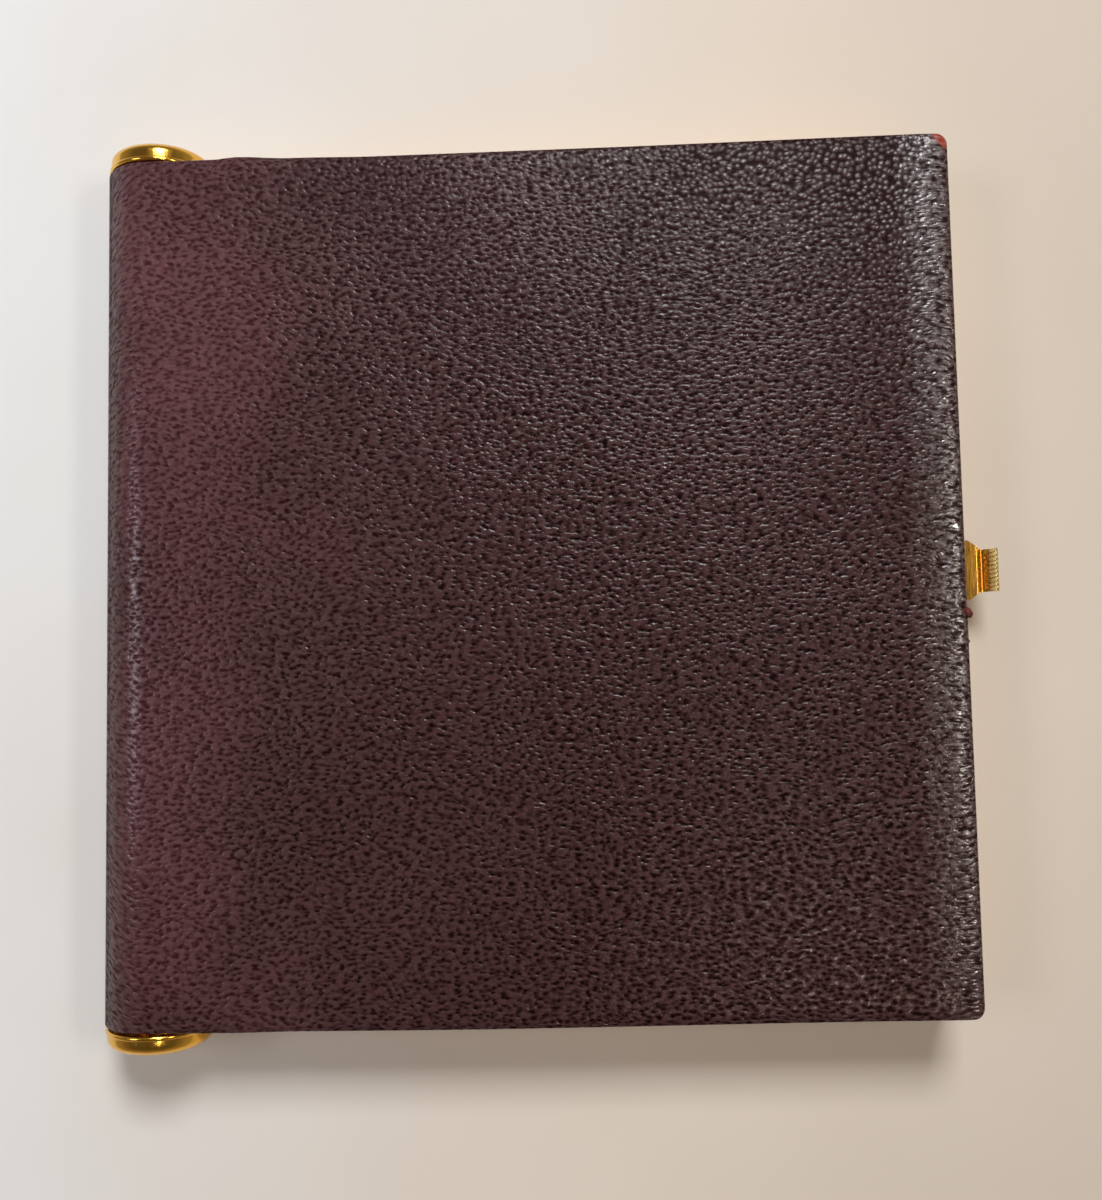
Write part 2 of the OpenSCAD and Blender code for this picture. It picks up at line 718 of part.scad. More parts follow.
// Powder door: a flat plate with knuckles along its back edge
module powder_door() color(brass) difference() {
    union() {
        translate([door_x0, door_y0, deck_under]) cube([door_x1 - door_x0, door_l, deck_t]);
        for (i = [1 : 2 : door_knuckles - 1])
            let (y0 = door_y0 + door_gap + i * door_step + knuckle_gap / 2,
                 l = door_step - knuckle_gap) {
                rod(x_door, z_door, door_knuckle_r, y0, y0 + l);
                translate([x_door, y0, deck_under]) cube([door_x0 - x_door + eps, l, deck_t]);
            }
    }
    rod(x_door, z_door, door_pin_r + run_gap, door_y0 - over, door_y1 + over);
}

// Pin of the powder door, with the fixed knuckles and the strap that holds them to the deck
module door_pin() color("silver") {
    difference() {
        for (i = [0 : 2 : door_knuckles - 1])
            let (y0 = door_y0 + door_gap + i * door_step + knuckle_gap / 2,
                 l = door_step - knuckle_gap) {
                rod(x_door, z_door, door_knuckle_r, y0, y0 + l);
                translate([open_x0, y0, deck_under]) cube([x_door - open_x0, l, deck_t]);
            }
        rod(x_door, z_door, door_pin_r, door_y0 - over, door_y1 + over);
    }
    rod(x_door, z_door, door_pin_r, door_y0 + door_gap, door_y1 - door_gap);
}

// Two flat springs that rise from the well's back wall and bear on the underside of the door
module door_spring() color("silver") {
    foot_x = well_x0 + spring_t / 2 + film;
    tip_z = deck_under - spring_t / 2 - film;
    for (y = [door_y0 + door_l / 4, door_y1 - door_l / 4])
        translate([0, y, 0])
            bent_strip([[foot_x, z_sifter + 3 * fit_gap], [foot_x, gutter_z - 3 * fit_gap],
                        [well_x0 + lift_reach, tip_z]], spring_t, lift_w);
}

// A pressed pan whose rim lies on the deck
module pan(x0, x1, y0, y1, depth) color(bright_brass) difference() {
    union() {
        slab(x0 - rim_w, x1 + rim_w, y0 - rim_w, y1 + rim_w, deck_top, deck_top + rim_t, pan_r);
        slab(x0, x1, y0, y1, deck_top - depth, deck_top + eps, pan_r);
    }
    slab(x0 + pan_t, x1 - pan_t, y0 + pan_t, y1 - pan_t,
         deck_top - depth + pan_t, deck_top + over, pan_r - pan_t);
}

// The pressed colour in such a pan
module cake(x0, x1, y0, y1) {
    slab(x0 + pan_t, x1 - pan_t, y0 + pan_t, y1 - pan_t,
         deck_top - colour_d + pan_t, deck_top - cake_drop, pan_r - pan_t);
}

module rouge_pan() pan(pan_x0, rouge_x1, colour_y0, colour_y1, colour_d);

module rouge() color("#b5485a") cake(pan_x0, rouge_x1, colour_y0, colour_y1);

module shadow_pan() pan(shadow_x0, pan_x1, colour_y0, colour_y1, colour_d);

module eye_shadow() color("#7d8796") cake(shadow_x0, pan_x1, colour_y0, colour_y1);

module applicator_tray() pan(pan_x0, pan_x1, trough_y0, trough_y1, trough_d);

module applicator_handle() color("black")
    translate([applicator_x - applicator_l / 2 + tip_l, applicator_y, applicator_z])
        rotate([0, 90, 0]) cylinder(r = handle_r, h = applicator_l - 2 * tip_l);

// Two sponge tips: a straight barrel with a round end
module applicator_tips() color("#e8dcc8")
    for (side = [-1, 1])
        translate([applicator_x + side * (applicator_l / 2 - tip_l), applicator_y, applicator_z])
            rotate([0, 90 * side, 0]) {
                cylinder(r = tip_r, h = tip_l - tip_r);
                translate([0, 0, tip_l - tip_r]) sphere(tip_r);
            }

module lid_shell() color(brass) difference() {
    translate([0, 0, lid_bottom]) linear_extrude(case_t - leather_t - lid_bottom)
        outline(x_lid, x_front, half_wall, corner_r);
    translate([0, 0, lid_bottom - over]) linear_extrude(z_plate - lid_bottom + over)
        outline(x_lid + sheet_t, x_front_in, half_in, corner_r - sheet_t);
}

// Ledge inside the lid's front wall that the clasp's hook holds
module lid_striker() color(brass) {
    translate([x_front_in - striker_w, -clasp_half, z_striker])
        cube([striker_w, 2 * clasp_half, striker_t]);
    for (side = [-1, 1])
        translate([x_front_in - leaf_t, side * (clasp_half + strap_w / 2) - strap_w / 2, z_striker])
            cube([leaf_t, strap_w, z_plate - z_striker - striker_w]);
}

module mirror_card() color("tan")
    slab(frame_x0 + frame_t, frame_x1 - frame_t, -frame_half + frame_t, frame_half - frame_t,
         card_z, z_plate, glass_r);

module mirror() color("lightsteelblue")
    slab(frame_x0 + frame_t, frame_x1 - frame_t, -frame_half + frame_t, frame_half - frame_t,
         mirror_z, card_z, glass_r);

// Frame with a border under the glass and a skirt around it
module mirror_frame() color(bright_brass) difference() {
    slab(frame_x0, frame_x1, -frame_half, frame_half, frame_z, z_plate, glass_r + frame_t);
    slab(frame_x0 + frame_t, frame_x1 - frame_t, -frame_half + frame_t, frame_half - frame_t,
         mirror_z, z_plate + over, glass_r);
    slab(frame_x0 + border_w, frame_x1 - border_w, -frame_half + border_w,
         frame_half - border_w, frame_z - over, mirror_z + over, border_w);
}

module lid_buttons() color("dimgray")
    for (y = [door_y0 + door_l / 5, door_y1 - door_l / 5])
        translate([door_x1 - button_back, y, deck_top + button_gap])
            cylinder(r = button_r, h = frame_z - deck_top - button_gap);

// Clasp: an eye on the pin, an upright plate with its hook, and the tongue with a grooved lip
module clasp() color(bright_brass) {
    groove_step = lip_w / (grooves + 1);
    lip_start = tongue_path[3];
    lip_end = tongue_path[4];
    lip_slope = atan2(lip_end[1] - lip_start[1], lip_end[0] - lip_start[0]);
    taper_x = x_free + tongue_flat - 0.9;
    neck_x = x_free + tongue_flat + 0.5;
    groove_start = 0.35;
    difference() {
        union() {
            rod(x_pivot, z_pivot, eye_r, -clasp_half, clasp_half);
            translate([x_plate0, -clasp_half, z_pivot])
                cube([clasp_t, 2 * clasp_half, z_hook + striker_t - z_pivot]);
            translate([x_plate0, -tongue_w / 2, z_hook])
                cube([x_front_in - striker_w + hook_bite - x_plate0, tongue_w, striker_t]);
            translate([x_pivot - eye_r - tail_l, -lift_w / 2, z_pivot])
                cube([eye_r + tail_l, lift_w, clasp_t]);
            intersection() {
                bent_strip(tongue_path, clasp_t, tongue_w);
                linear_extrude(case_t) polygon([
                    [x_plate0, -tongue_w / 2], [taper_x, -tongue_w / 2],
                    [neck_x, -lip_w / 2], [x_free + case_t, -lip_w / 2],
                    [x_free + case_t, lip_w / 2], [neck_x, lip_w / 2],
                    [taper_x, tongue_w / 2], [x_plate0, tongue_w / 2]
                ]);
            }
        }
        rod(x_pivot, z_pivot, clasp_pin_r + run_gap, -clasp_half - over, clasp_half + over);
        for (i = [1 : grooves])
            translate([lip_start[0], -lip_w / 2 + i * groove_step, lip_start[1]])
                rotate([0, -lip_slope, 0])
                    translate([groove_start, -groove_w / 2, clasp_t / 2 - groove_d])
                        cube([2 * lip_rise, groove_w, over]);
    }
}

// Bracket soldered to the floor, with an ear at each end of the clasp's eye
module clasp_bracket() color(brass) {
    ear_y = clasp_half + ear_gap;
    difference() {
        union() {
            translate([x_pivot - eye_r - tail_l, -ear_y - ear_t, z_floor])
                cube([eye_r + tail_l + pivot_back - 2 * fit_gap, 2 * (ear_y + ear_t), leaf_t]);
            for (y = [-ear_y - ear_t, ear_y])
                rod(x_pivot, z_pivot, eye_r, y, y + ear_t);
            for (y = [-ear_y - ear_t, ear_y])
                translate([x_pivot - eye_r, y, z_floor]) cube([2 * eye_r, ear_t, pivot_h]);
        }
        rod(x_pivot, z_pivot, clasp_pin_r, -ear_y - 2 * over, ear_y + 2 * over);
    }
}

module clasp_pin() color("silver")
    rod(x_pivot, z_pivot, clasp_pin_r, -clasp_half - ear_gap - ear_t, clasp_half + ear_gap + ear_t);

// Flat spring from the bracket's plate up to the clasp's tail
module clasp_spring() color("silver") {
    low = z_floor + leaf_t + spring_t / 2;
    bend_x = x_pivot - eye_r - tail_l + spring_t;
    bent_strip([[x_pivot + eye_r - spring_t, low], [bend_x + 0.9, low], [bend_x, low + 0.3],
                [bend_x + 0.4, z_pivot - spring_t / 2 - film]], spring_t, lift_w - over);
}

// A point on the tube's axis, s from the leather's end at the knob
function at_s(s) = -half_spine + s;

// A tube on the spine's axis between two stations
module tube(r, wall, s0, s1) {
    difference() {
        barrel_rod(r, at_s(s0), at_s(s1));
        barrel_rod(r - wall, at_s(s0) - over, at_s(s1) + over);
    }
}

// Outer case of the lipstick, turned in at its lower end to hold the slotted tube
module lipstick_case() color(bright_brass) {
    tube(lip_case_r, case_wall, lip_back, lipstick_l);
    tube(lip_case_r - eps, lip_case_r - eps - slotted_r - slide_gap, lip_back, lip_back + turn_in);
}

// Fixed tube with two spiral slots that lead the cup's lugs
module lipstick_spiral() color(brass) {
    rise = travel + slot_w;
    half_arc = asin(slot_w / 2 / sin(atan2(pitch, 2 * PI * spiral_r)) / spiral_r);
    difference() {
        tube(spiral_r, spiral_wall, ring_s + ring_t + slide_gap, lipstick_l - spiral_back);
        translate([x_barrel, at_s(lug_s - slot_w / 2), z_barrel]) rotate([-90, 0, 0])
            rotate(-360 * slot_w / 2 / pitch)
            linear_extrude(rise, twist = -360 * rise / pitch, slices = 60, $fn = 8, convexity = 8)
                for (start = [0, 180])
                    rotate(start) polygon(concat(
                        [for (a = [-half_arc : half_arc / 2 : half_arc])
                            (spiral_r + spiral_wall) * [cos(a), sin(a)]],
                        [for (a = [half_arc : -half_arc / 2 : -half_arc])
                            (spiral_r - 2 * spiral_wall) * [cos(a), sin(a)]]
                    ));
    }
}

// Domed knob at the lower end of the lipstick, with the spigot of the slotted tube
module lipstick_knob() color(bright_brass) {
    cap(-1);
    barrel_rod(slotted_r - slot_wall - solder, at_s(-cap_gap - eps), at_s(spigot_l));
}

// Turning tube with two straight slots
module lipstick_slotted_tube() color(brass) difference() {
    tube(slotted_r, slot_wall, -cap_gap, lipstick_l - slot_back);
    tube(slotted_r + over, over + slot_wall / 2, ring_s, ring_s + ring_t);
    translate([x_barrel - barrel_r, at_s(lug_s - slot_w / 2), z_barrel - slot_w / 2])
        cube([2 * barrel_r, travel + slot_w, slot_w]);
}

// Split ring in the slotted tube's groove, which keeps it in the lipstick's case
module knob_ring() color("silver") difference() {
    tube(slotted_r + slot_wall, 1.5 * slot_wall - eps, ring_s + film, ring_s + ring_t - film);
    translate([x_barrel, at_s(0), z_barrel - ring_t]) cube([barrel_r, ring_s + 2 * ring_t, 2 * ring_t]);
}

// Cup with a floor and two lugs that reach through both tubes' slots
module lipstick_cup() color(brass) {
    tube(cup_r, cup_wall, cup_s, cup_s + cup_l);
    barrel_rod(cup_r - eps, at_s(cup_s), at_s(cup_s + cup_floor));
    for (side = [-1, 1])
        translate([x_barrel + side * (cup_r - lug_root), at_s(lug_s), z_barrel])
            rotate([0, 90 * side, 0]) cylinder(d = lug_d, h = spiral_r - cup_r);
}

// Stick of colour, cut to a slant at its tip
module lipstick_stick() color("#a3182c") difference() {
    stick_s = cup_s + cup_floor;
    slant = 50;
    barrel_rod(stick_r, at_s(stick_s), at_s(stick_s + stick_l));
    translate([x_barrel, at_s(stick_s + stick_l), z_barrel]) rotate([slant, 0, 0])
        translate([-barrel_r, 0, -barrel_r * 3]) cube([2 * barrel_r, 4 * barrel_r, 6 * barrel_r]);
}

base_tray();
back_leather();
hinge_leather();
spine_barrel();
spine_rail();
end_cap();
base_leaf();
hinge_pin();
deck();
powder_well();
powder();
sifter_frame();
sifter_net();
puff();
puff_ribbon();
door_pin();
door_spring();
rouge_pan();
rouge();
shadow_pan();
eye_shadow();
applicator_tray();
applicator_handle();
applicator_tips();
clasp_bracket();
clasp_pin();
clasp_spring();
lid_shell();
lid_leather();
lid_leaf();
lid_striker();
mirror();
mirror_card();
mirror_frame();
lid_buttons();
powder_door();
clasp();
lipstick_case();
lipstick_spiral();
lipstick_knob();
lipstick_slotted_tube();
knob_ring();
lipstick_cup();
lipstick_stick();
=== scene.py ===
"""Looks of a leather-covered brass makeup case, which lies closed on a pale floor."""

import json
import math

import bmesh
import bpy
from mathutils import Matrix, Vector, noise


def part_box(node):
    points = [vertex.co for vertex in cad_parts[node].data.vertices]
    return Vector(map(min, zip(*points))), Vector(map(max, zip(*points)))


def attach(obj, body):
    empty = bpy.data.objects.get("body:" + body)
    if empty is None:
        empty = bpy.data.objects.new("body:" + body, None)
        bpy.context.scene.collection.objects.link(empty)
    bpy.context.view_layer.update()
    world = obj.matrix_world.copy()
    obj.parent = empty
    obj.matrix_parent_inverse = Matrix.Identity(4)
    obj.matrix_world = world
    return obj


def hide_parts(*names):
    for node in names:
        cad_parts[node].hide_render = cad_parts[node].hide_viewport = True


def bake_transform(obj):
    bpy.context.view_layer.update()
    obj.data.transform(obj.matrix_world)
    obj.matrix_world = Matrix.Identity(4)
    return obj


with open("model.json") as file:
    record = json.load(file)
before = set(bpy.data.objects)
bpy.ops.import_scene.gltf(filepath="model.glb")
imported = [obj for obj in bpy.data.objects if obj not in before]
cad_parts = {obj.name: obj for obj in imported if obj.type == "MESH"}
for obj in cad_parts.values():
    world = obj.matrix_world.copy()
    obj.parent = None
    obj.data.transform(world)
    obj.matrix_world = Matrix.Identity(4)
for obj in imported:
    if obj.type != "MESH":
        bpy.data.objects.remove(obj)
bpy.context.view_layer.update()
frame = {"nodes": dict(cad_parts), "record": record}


# Camera: held about 13 cm above the case, a little towards its lower right, as the
# photograph was taken. It sees 53 degrees along the frame's longer side.

scene = bpy.context.scene


def mm(x, y, z):
    """A point in metres from millimetres."""
    return Vector((x, y, z)) / 1000


camera = bpy.data.objects.new("camera", bpy.data.cameras.new("camera"))
scene.collection.objects.link(camera)
scene.camera = camera
camera.data.lens = 36
camera.data.sensor_width = 36
camera.data.clip_start = 0.005
camera.data.clip_end = 10
eye = mm(8.36, -11.42, 139.19)
target = mm(3.07, -2.61, 11.6)
up = Vector((0.0231, 0.9974, 0.0679))
backward = (eye - target).normalized()
side = up.cross(backward).normalized()
camera.matrix_world = Matrix.Translation(eye) @ Matrix(
    (side, backward.cross(side), backward)
).transposed().to_4x4()


# Studio: a pale paper floor with painted light that makes it paler towards the upper
# left, a soft lamp beyond the case's upper end, three weak small ones that give the
# leather its glints, and a warm surround that is dim overhead and bright low down.

scene.view_settings.view_transform = "Standard"


def srgb(code):
    """The linear colour of an sRGB hex value."""
    parts = [int(code[i : i + 2], 16) / 255 for i in (1, 3, 5)]
    return [c / 12.92 if c <= 0.04045 else ((c + 0.055) / 1.055) ** 2.4 for c in parts] + [1]


def per(size):
    """The scale of a pattern whose features are so many millimetres apart."""
    return 1000 / size


def add(tree, kind, values=None, ramp=None, **settings):
    """Adds a node with its settings. A value is a constant, or a socket to link from."""
    made = tree.nodes.new(kind)
    for name, setting in settings.items():
        setattr(made, name, setting)
    for name, value in (values or {}).items():
        if isinstance(value, bpy.types.NodeSocket):
            tree.links.new(value, made.inputs[name])
        else:
            made.inputs[name].default_value = value
    if ramp:
        stops = made.color_ramp.elements
        while len(stops) < len(ramp):
            stops.new(1)
        for stop, (place, code) in zip(stops, ramp):
            stop.position, stop.color = place, srgb(code)
    return made


def material(name, **constants):
    """A new material: its node tree, its shader and the object's coordinates."""
    made = bpy.data.materials.new(name)
    made.use_nodes = True
    tree = made.node_tree
    shader = tree.nodes["Principled BSDF"]
    for socket, value in constants.items():
        shader.inputs[socket.replace("_", " ")].default_value = value
    place = add(tree, "ShaderNodeTexCoord").outputs["Object"]
    return made, tree, shader, place


# Uncoated paper: a warm off-white, faintly cloudy, with painted light that makes it paler and
# cooler towards the upper left and darker and warmer towards the lower right
paper, tree, shader, place = material("uncoated_paper", Roughness=0.9)
split = add(tree, "ShaderNodeSeparateXYZ", {"Vector": place}).outputs
clouds = add(tree, "ShaderNodeTexNoise", {"Vector": place, "Scale": per(45.5), "Detail": 4.0})
# Painted light: the colour slopes from pale at the upper left to darker at the lower right
painted_light_slope = add(tree, "ShaderNodeMath", {0: split["Y"], 1: 0.15}, operation="MULTIPLY")
painted_light_slope = add(tree, "ShaderNodeMath",
            {0: painted_light_slope.outputs["Value"], 1: split["X"]}, operation="SUBTRACT")
painted_light_slope = add(tree, "ShaderNodeMapRange",
            {"Value": painted_light_slope.outputs["Value"], "From Min": -0.1, "From Max": 0.1})
painted_light_slope = add(tree, "ShaderNodeMath",
            {0: clouds.outputs["Fac"], 1: 0.3, 2: painted_light_slope.outputs["Result"]},
            operation="MULTIPLY_ADD")
tint = add(tree, "ShaderNodeValToRGB", {"Fac": painted_light_slope.outputs["Value"]},
           ramp=[(0.3, "#c6bbae"), (0.55, "#d3c9bd"), (0.8, "#d8d4cf"), (1, "#e0e2e3")])
tree.links.new(tint.outputs["Color"], shader.inputs["Base Color"])

FLOOR_REACH = 3
mesh = bpy.data.meshes.new("floor")
bm = bmesh.new()
bmesh.ops.create_grid(bm, x_segments=1, y_segments=1, size=FLOOR_REACH)
bm.to_mesh(mesh)
bm.free()
floor = bpy.data.objects.new("floor", mesh)
scene.collection.objects.link(floor)
mesh.materials.append(paper)

LOW_GLOW = 0.32
OVERHEAD_GLOW = 0.1
world = bpy.data.worlds.new("surround")
scene.world = world
world.use_nodes = True
tree = world.node_tree
surround = tree.nodes["Background"]
surround.inputs["Color"].default_value = srgb("#ffefdc")
height = add(tree, "ShaderNodeTexCoord").outputs["Generated"]
height = add(tree, "ShaderNodeSeparateXYZ", {"Vector": height}).outputs["Z"]
height = add(tree, "ShaderNodeMapRange",
             {"Value": height, "From Min": 0.1, "From Max": 0.7,
              "To Min": LOW_GLOW, "To Max": OVERHEAD_GLOW}, interpolation_type="SMOOTHSTEP")
tree.links.new(height.outputs["Result"], surround.inputs["Strength"])


def lamp(name, place, size, power, colour, length=0.0):
    """A soft lamp that faces the middle of the case: a square, or a strip of that length.

    Sizes are in metres and the power in watts.
    """
    made = bpy.data.lights.new(name, "AREA")
    made.shape = "RECTANGLE"
    made.size, made.size_y = length or size, size
    made.energy, made.color = power, srgb(colour)[:3]
    holder = bpy.data.objects.new(name, made)
    scene.collection.objects.link(holder)
    holder.location = place
    holder.rotation_euler = place.to_track_quat("Z", "Y").to_euler()


lamp("key", mm(120, 520, 680), 0.25, 6.1, "#ffffff")
lamp("left_lamp", mm(-400, 10, 480), 0.15, 0.65, "#f6f3ff", 0.22)
lamp("right_lamp", mm(370, 30, 480), 0.07, 0.6, "#fff6ea", 0.16)
lamp("low_lamp", mm(130, -180, 590), 0.06, 0.28, "#fff1df")


# Leather: one hide of fine-grained goatskin, dyed dark burgundy and glazed, runs
# from the lid round the spine to the back. It is glued to the brass, and its
# rim is pared and turned down.

# Sizes are in millimetres here and below. FREE_X is the free edge, FOLD the strip that
# bends over the hinge, JOIN_X where the lid's cover meets the spine, and RIM how near its
# edge the hide turns down. Each end is a few points, with half the length at each.
LEATHER = 0.8
FREE_X = 47.0
HALF_L = 47.0
SPINE_X = -41.2
TOP_Z = 11.6
SPINE_R = TOP_Z / 2
JOIN_X = -39.2
FOLD = (-36.9, -32.1)
CORNER_R = 1.2
RIM = 0.3
UPPER_END = ((-33.5, 47.28), (-31, 47.48), (-25, 47.15), (-15, 46.97), (10, 46.97), (47, 47.12))
LOWER_END = ((-32.1, 47.62), (-24.5, 47.5), (-15, 47.5), (47, 46.95))


def half_length(x, end):
    """Half the leather's length at a distance across the case, by its slightly uneven ends."""
    points = UPPER_END if end > 0 else LOWER_END
    for (x0, y0), (x1, y1) in zip(points, points[1:]):
        if x < x1:
            share = max((x - x0) / (x1 - x0), 0)
            return y0 + (y1 - y0) * share * share * (3 - 2 * share)
    return points[-1][1]


# Glazed goatskin: soft creases round dark pits, which turn into glossy round beads
# towards the upper right. The pits, creases and gaps between beads are dark partly from
# the dye and partly as painted shade. It is redder and flatter towards the spine, where a
# painted sheen makes it lighter, drier towards the upper end, and worn at a corner. Its
# outer side on the spine is painted darker as painted shade. Where it turns over the spine
# and the free edge it is stretched into short creases across the turn, and rubbed shinier.
PIT = (0.87, 0.513)
BEAD = 0.625
CREASE = (1.176, 0.435)
ROWS_TURN = math.radians(8)
WAVER = 2
RELIEF = 0.07
hide, tree, shader, place = material("glazed_goatskin", Specular_IOR_Level=0.2)
split = add(tree, "ShaderNodeSeparateXYZ", {"Vector": place}).outputs
fine = add(tree, "ShaderNodeTexNoise",
           {"Vector": place, "Scale": per(0.526), "Detail": 2.0}).outputs["Fac"]
clouds = add(tree, "ShaderNodeTexNoise",
             {"Vector": place, "Scale": per(16.67), "Detail": 3.0}).outputs["Fac"]

# Grain: it lies on the unrolled hide, and wavers by up to a millimetre
unrolled = add(tree, "ShaderNodeUVMap", uv_map="unrolled").outputs["UV"]
waver = add(tree, "ShaderNodeTexNoise",
            {"Vector": unrolled, "Scale": per(9.09), "Detail": 2.0}).outputs["Color"]
sway = add(tree, "ShaderNodeVectorMath",
           {0: waver, 1: (0.5, 0.5, 0.5)}, operation="SUBTRACT").outputs["Vector"]
sway = add(tree, "ShaderNodeVectorMath",
           {0: sway, "Scale": WAVER / 1000}, operation="SCALE").outputs["Vector"]
grain = add(tree, "ShaderNodeVectorMath",
            {0: unrolled, 1: sway}, operation="ADD").outputs["Vector"]

# Pits in slanting rows, with folds between them
rows = add(tree, "ShaderNodeMapping",
           {"Vector": grain, "Rotation": (0, 0, ROWS_TURN),
            "Scale": (per(PIT[0]), per(PIT[1]), 1)}).outputs["Vector"]
pits = add(tree, "ShaderNodeTexVoronoi",
           {"Vector": rows, "Scale": 1.0, "Smoothness": 0.5, "Randomness": 1.0},
           voronoi_dimensions="2D", feature="SMOOTH_F1").outputs["Distance"]
pits = add(tree, "ShaderNodeMapRange",
           {"Value": pits, "From Min": 0.0, "From Max": 0.55}).outputs["Result"]
folds = add(tree, "ShaderNodeTexNoise",
            {"Vector": rows, "Scale": 1.2, "Detail": 1.5}, noise_dimensions="2D").outputs["Fac"]
folds = add(tree, "ShaderNodeMapRange",
            {"Value": folds, "From Min": 0.3, "From Max": 0.7}).outputs["Result"]
pits = add(tree, "ShaderNodeMixRGB",
           {"Fac": 0.42, "Color1": pits, "Color2": folds}).outputs["Color"]
pits = add(tree, "ShaderNodeMapRange",
           {"Value": pits, "From Min": 0.2, "From Max": 0.85}).outputs["Result"]

# Beads towards the upper right
beads = add(tree, "ShaderNodeTexVoronoi",
            {"Vector": grain, "Scale": per(BEAD), "Smoothness": 0.25, "Randomness": 0.9},
            voronoi_dimensions="2D", feature="SMOOTH_F1").outputs["Distance"]
beads = add(tree, "ShaderNodeMapRange",
            {"Value": beads, "From Min": 0.65, "From Max": 0.0,
             "To Min": 0.2}).outputs["Result"]
pebbled = add(tree, "ShaderNodeMath", {0: split["X"], 1: 0.5, 2: split["Y"]},
              operation="MULTIPLY_ADD").outputs["Value"]
pebbled = add(tree, "ShaderNodeMath",
              {0: clouds, 1: 0.05, 2: pebbled}, operation="MULTIPLY_ADD").outputs["Value"]
pebbled = add(tree, "ShaderNodeMapRange",
              {"Value": pebbled, "From Min": 0.05, "From Max": 0.09}).outputs["Result"]
ridge = add(tree, "ShaderNodeMixRGB",
            {"Fac": pebbled, "Color1": pits, "Color2": beads}).outputs["Color"]

# Creases across the turns over the spine and the free edge
turned = add(tree, "ShaderNodeMath", {0: split["X"]}, operation="ABSOLUTE").outputs["Value"]
turned = add(tree, "ShaderNodeMapRange",
             {"Value": turned, "From Min": 0.041, "From Max": 0.046,
              "To Max": 0.8}).outputs["Result"]
creases = add(tree, "ShaderNodeMapping",
              {"Vector": grain, "Scale": (per(CREASE[0]), per(CREASE[1]), 1)}).outputs["Vector"]
creases = add(tree, "ShaderNodeTexNoise", {"Vector": creases, "Scale": 1.0, "Detail": 1.0},
              noise_dimensions="2D").outputs["Fac"]
creases = add(tree, "ShaderNodeMapRange",
              {"Value": creases, "From Min": 0.25, "From Max": 0.65}).outputs["Result"]
ridge = add(tree, "ShaderNodeMixRGB",
            {"Fac": turned, "Color1": ridge, "Color2": creases}).outputs["Color"]

# Dye and painted light: dark in the pits, creases and gaps, partly from the dye and partly
# painted shade, and redder towards the spine, where a painted sheen also makes it lighter
across = add(tree, "ShaderNodeMath", {0: split["Y"], 1: -0.15, 2: split["X"]},
             operation="MULTIPLY_ADD").outputs["Value"]
across = add(tree, "ShaderNodeMapRange",
             {"Value": across, "From Min": -0.05, "From Max": 0.015}).outputs["Result"]
across = add(tree, "ShaderNodeMath",
             {0: clouds, 1: 0.9, 2: across}, operation="MULTIPLY_ADD").outputs["Value"]
across = add(tree, "ShaderNodeMapRange",
             {"Value": across, "From Min": 0.35, "From Max": 1.4}).outputs["Result"]
# Painted light: the low colour is partly painted shade in the pits and creases, and the lighter
# stops towards the spine are a painted sheen
high = add(tree, "ShaderNodeValToRGB", {"Fac": across},
           ramp=[(0, "#643f44"), (0.5, "#482e30"), (1, "#3f2526")]).outputs["Color"]
low = add(tree, "ShaderNodeValToRGB", {"Fac": across},
          ramp=[(0, "#3f2227"), (0.5, "#1c0b0c"), (1, "#0e0404")]).outputs["Color"]
dye_and_painted_light = add(tree, "ShaderNodeMixRGB",
           {"Fac": ridge, "Color1": low, "Color2": high}).outputs["Color"]

# The dye is worn off at the upper right corner. The spine's outer side is painted a dark
# deep red as painted shade, and is hardly glazed
corner = add(tree, "ShaderNodeVectorMath",
             {0: place, 1: mm(47.0, 47.0, 11.3)}, operation="DISTANCE").outputs["Value"]
worn = add(tree, "ShaderNodeMath",
           {0: fine, 1: 0.0012, 2: corner}, operation="MULTIPLY_ADD").outputs["Value"]
worn = add(tree, "ShaderNodeMapRange",
           {"Value": worn, "From Min": 0.0023, "From Max": 0.0019}).outputs["Result"]
dye_and_painted_light = add(tree, "ShaderNodeMixRGB",
           {"Fac": worn, "Color1": dye_and_painted_light, "Color2": srgb("#8a3325")}).outputs["Color"]
# Painted shade: the spine's outer side gets a dark deep red instead of the dyed colour
painted_shade_side = add(tree, "ShaderNodeMapRange",
                 {"Value": split["X"], "From Min": -0.0457, "From Max": -0.0438,
                  "To Min": 0.03}).outputs["Result"]
dye_and_painted_light = add(tree, "ShaderNodeMixRGB",
           {"Fac": painted_shade_side, "Color1": srgb("#3a1217"), "Color2": dye_and_painted_light}).outputs["Color"]
tree.links.new(dye_and_painted_light, shader.inputs["Base Color"])

# Glaze: uneven, drier towards the upper end, and thick on the ridges
gloss = add(tree, "ShaderNodeMapRange",
            {"Value": fine, "From Min": 0.35, "From Max": 0.65,
             "To Min": 0.17, "To Max": 0.38}).outputs["Result"]
drier = add(tree, "ShaderNodeMapRange",
            {"Value": split["Y"], "From Min": 0.01, "From Max": 0.047,
             "To Max": 0.08}).outputs["Result"]
gloss = add(tree, "ShaderNodeMath", {0: gloss, 1: drier}, operation="ADD").outputs["Value"]
tree.links.new(gloss, shader.inputs["Roughness"])
shine = add(tree, "ShaderNodeMapRange",
            {"Value": ridge, "From Min": 0.3, "From Max": 0.9,
             "To Min": 0.02, "To Max": 0.3}).outputs["Result"]
shine = add(tree, "ShaderNodeMath",
            {0: shine, 1: painted_shade_side}, operation="MULTIPLY").outputs["Value"]
rubbed = add(tree, "ShaderNodeMapRange",
             {"Value": turned, "To Min": 1.0, "To Max": 6.5}).outputs["Result"]
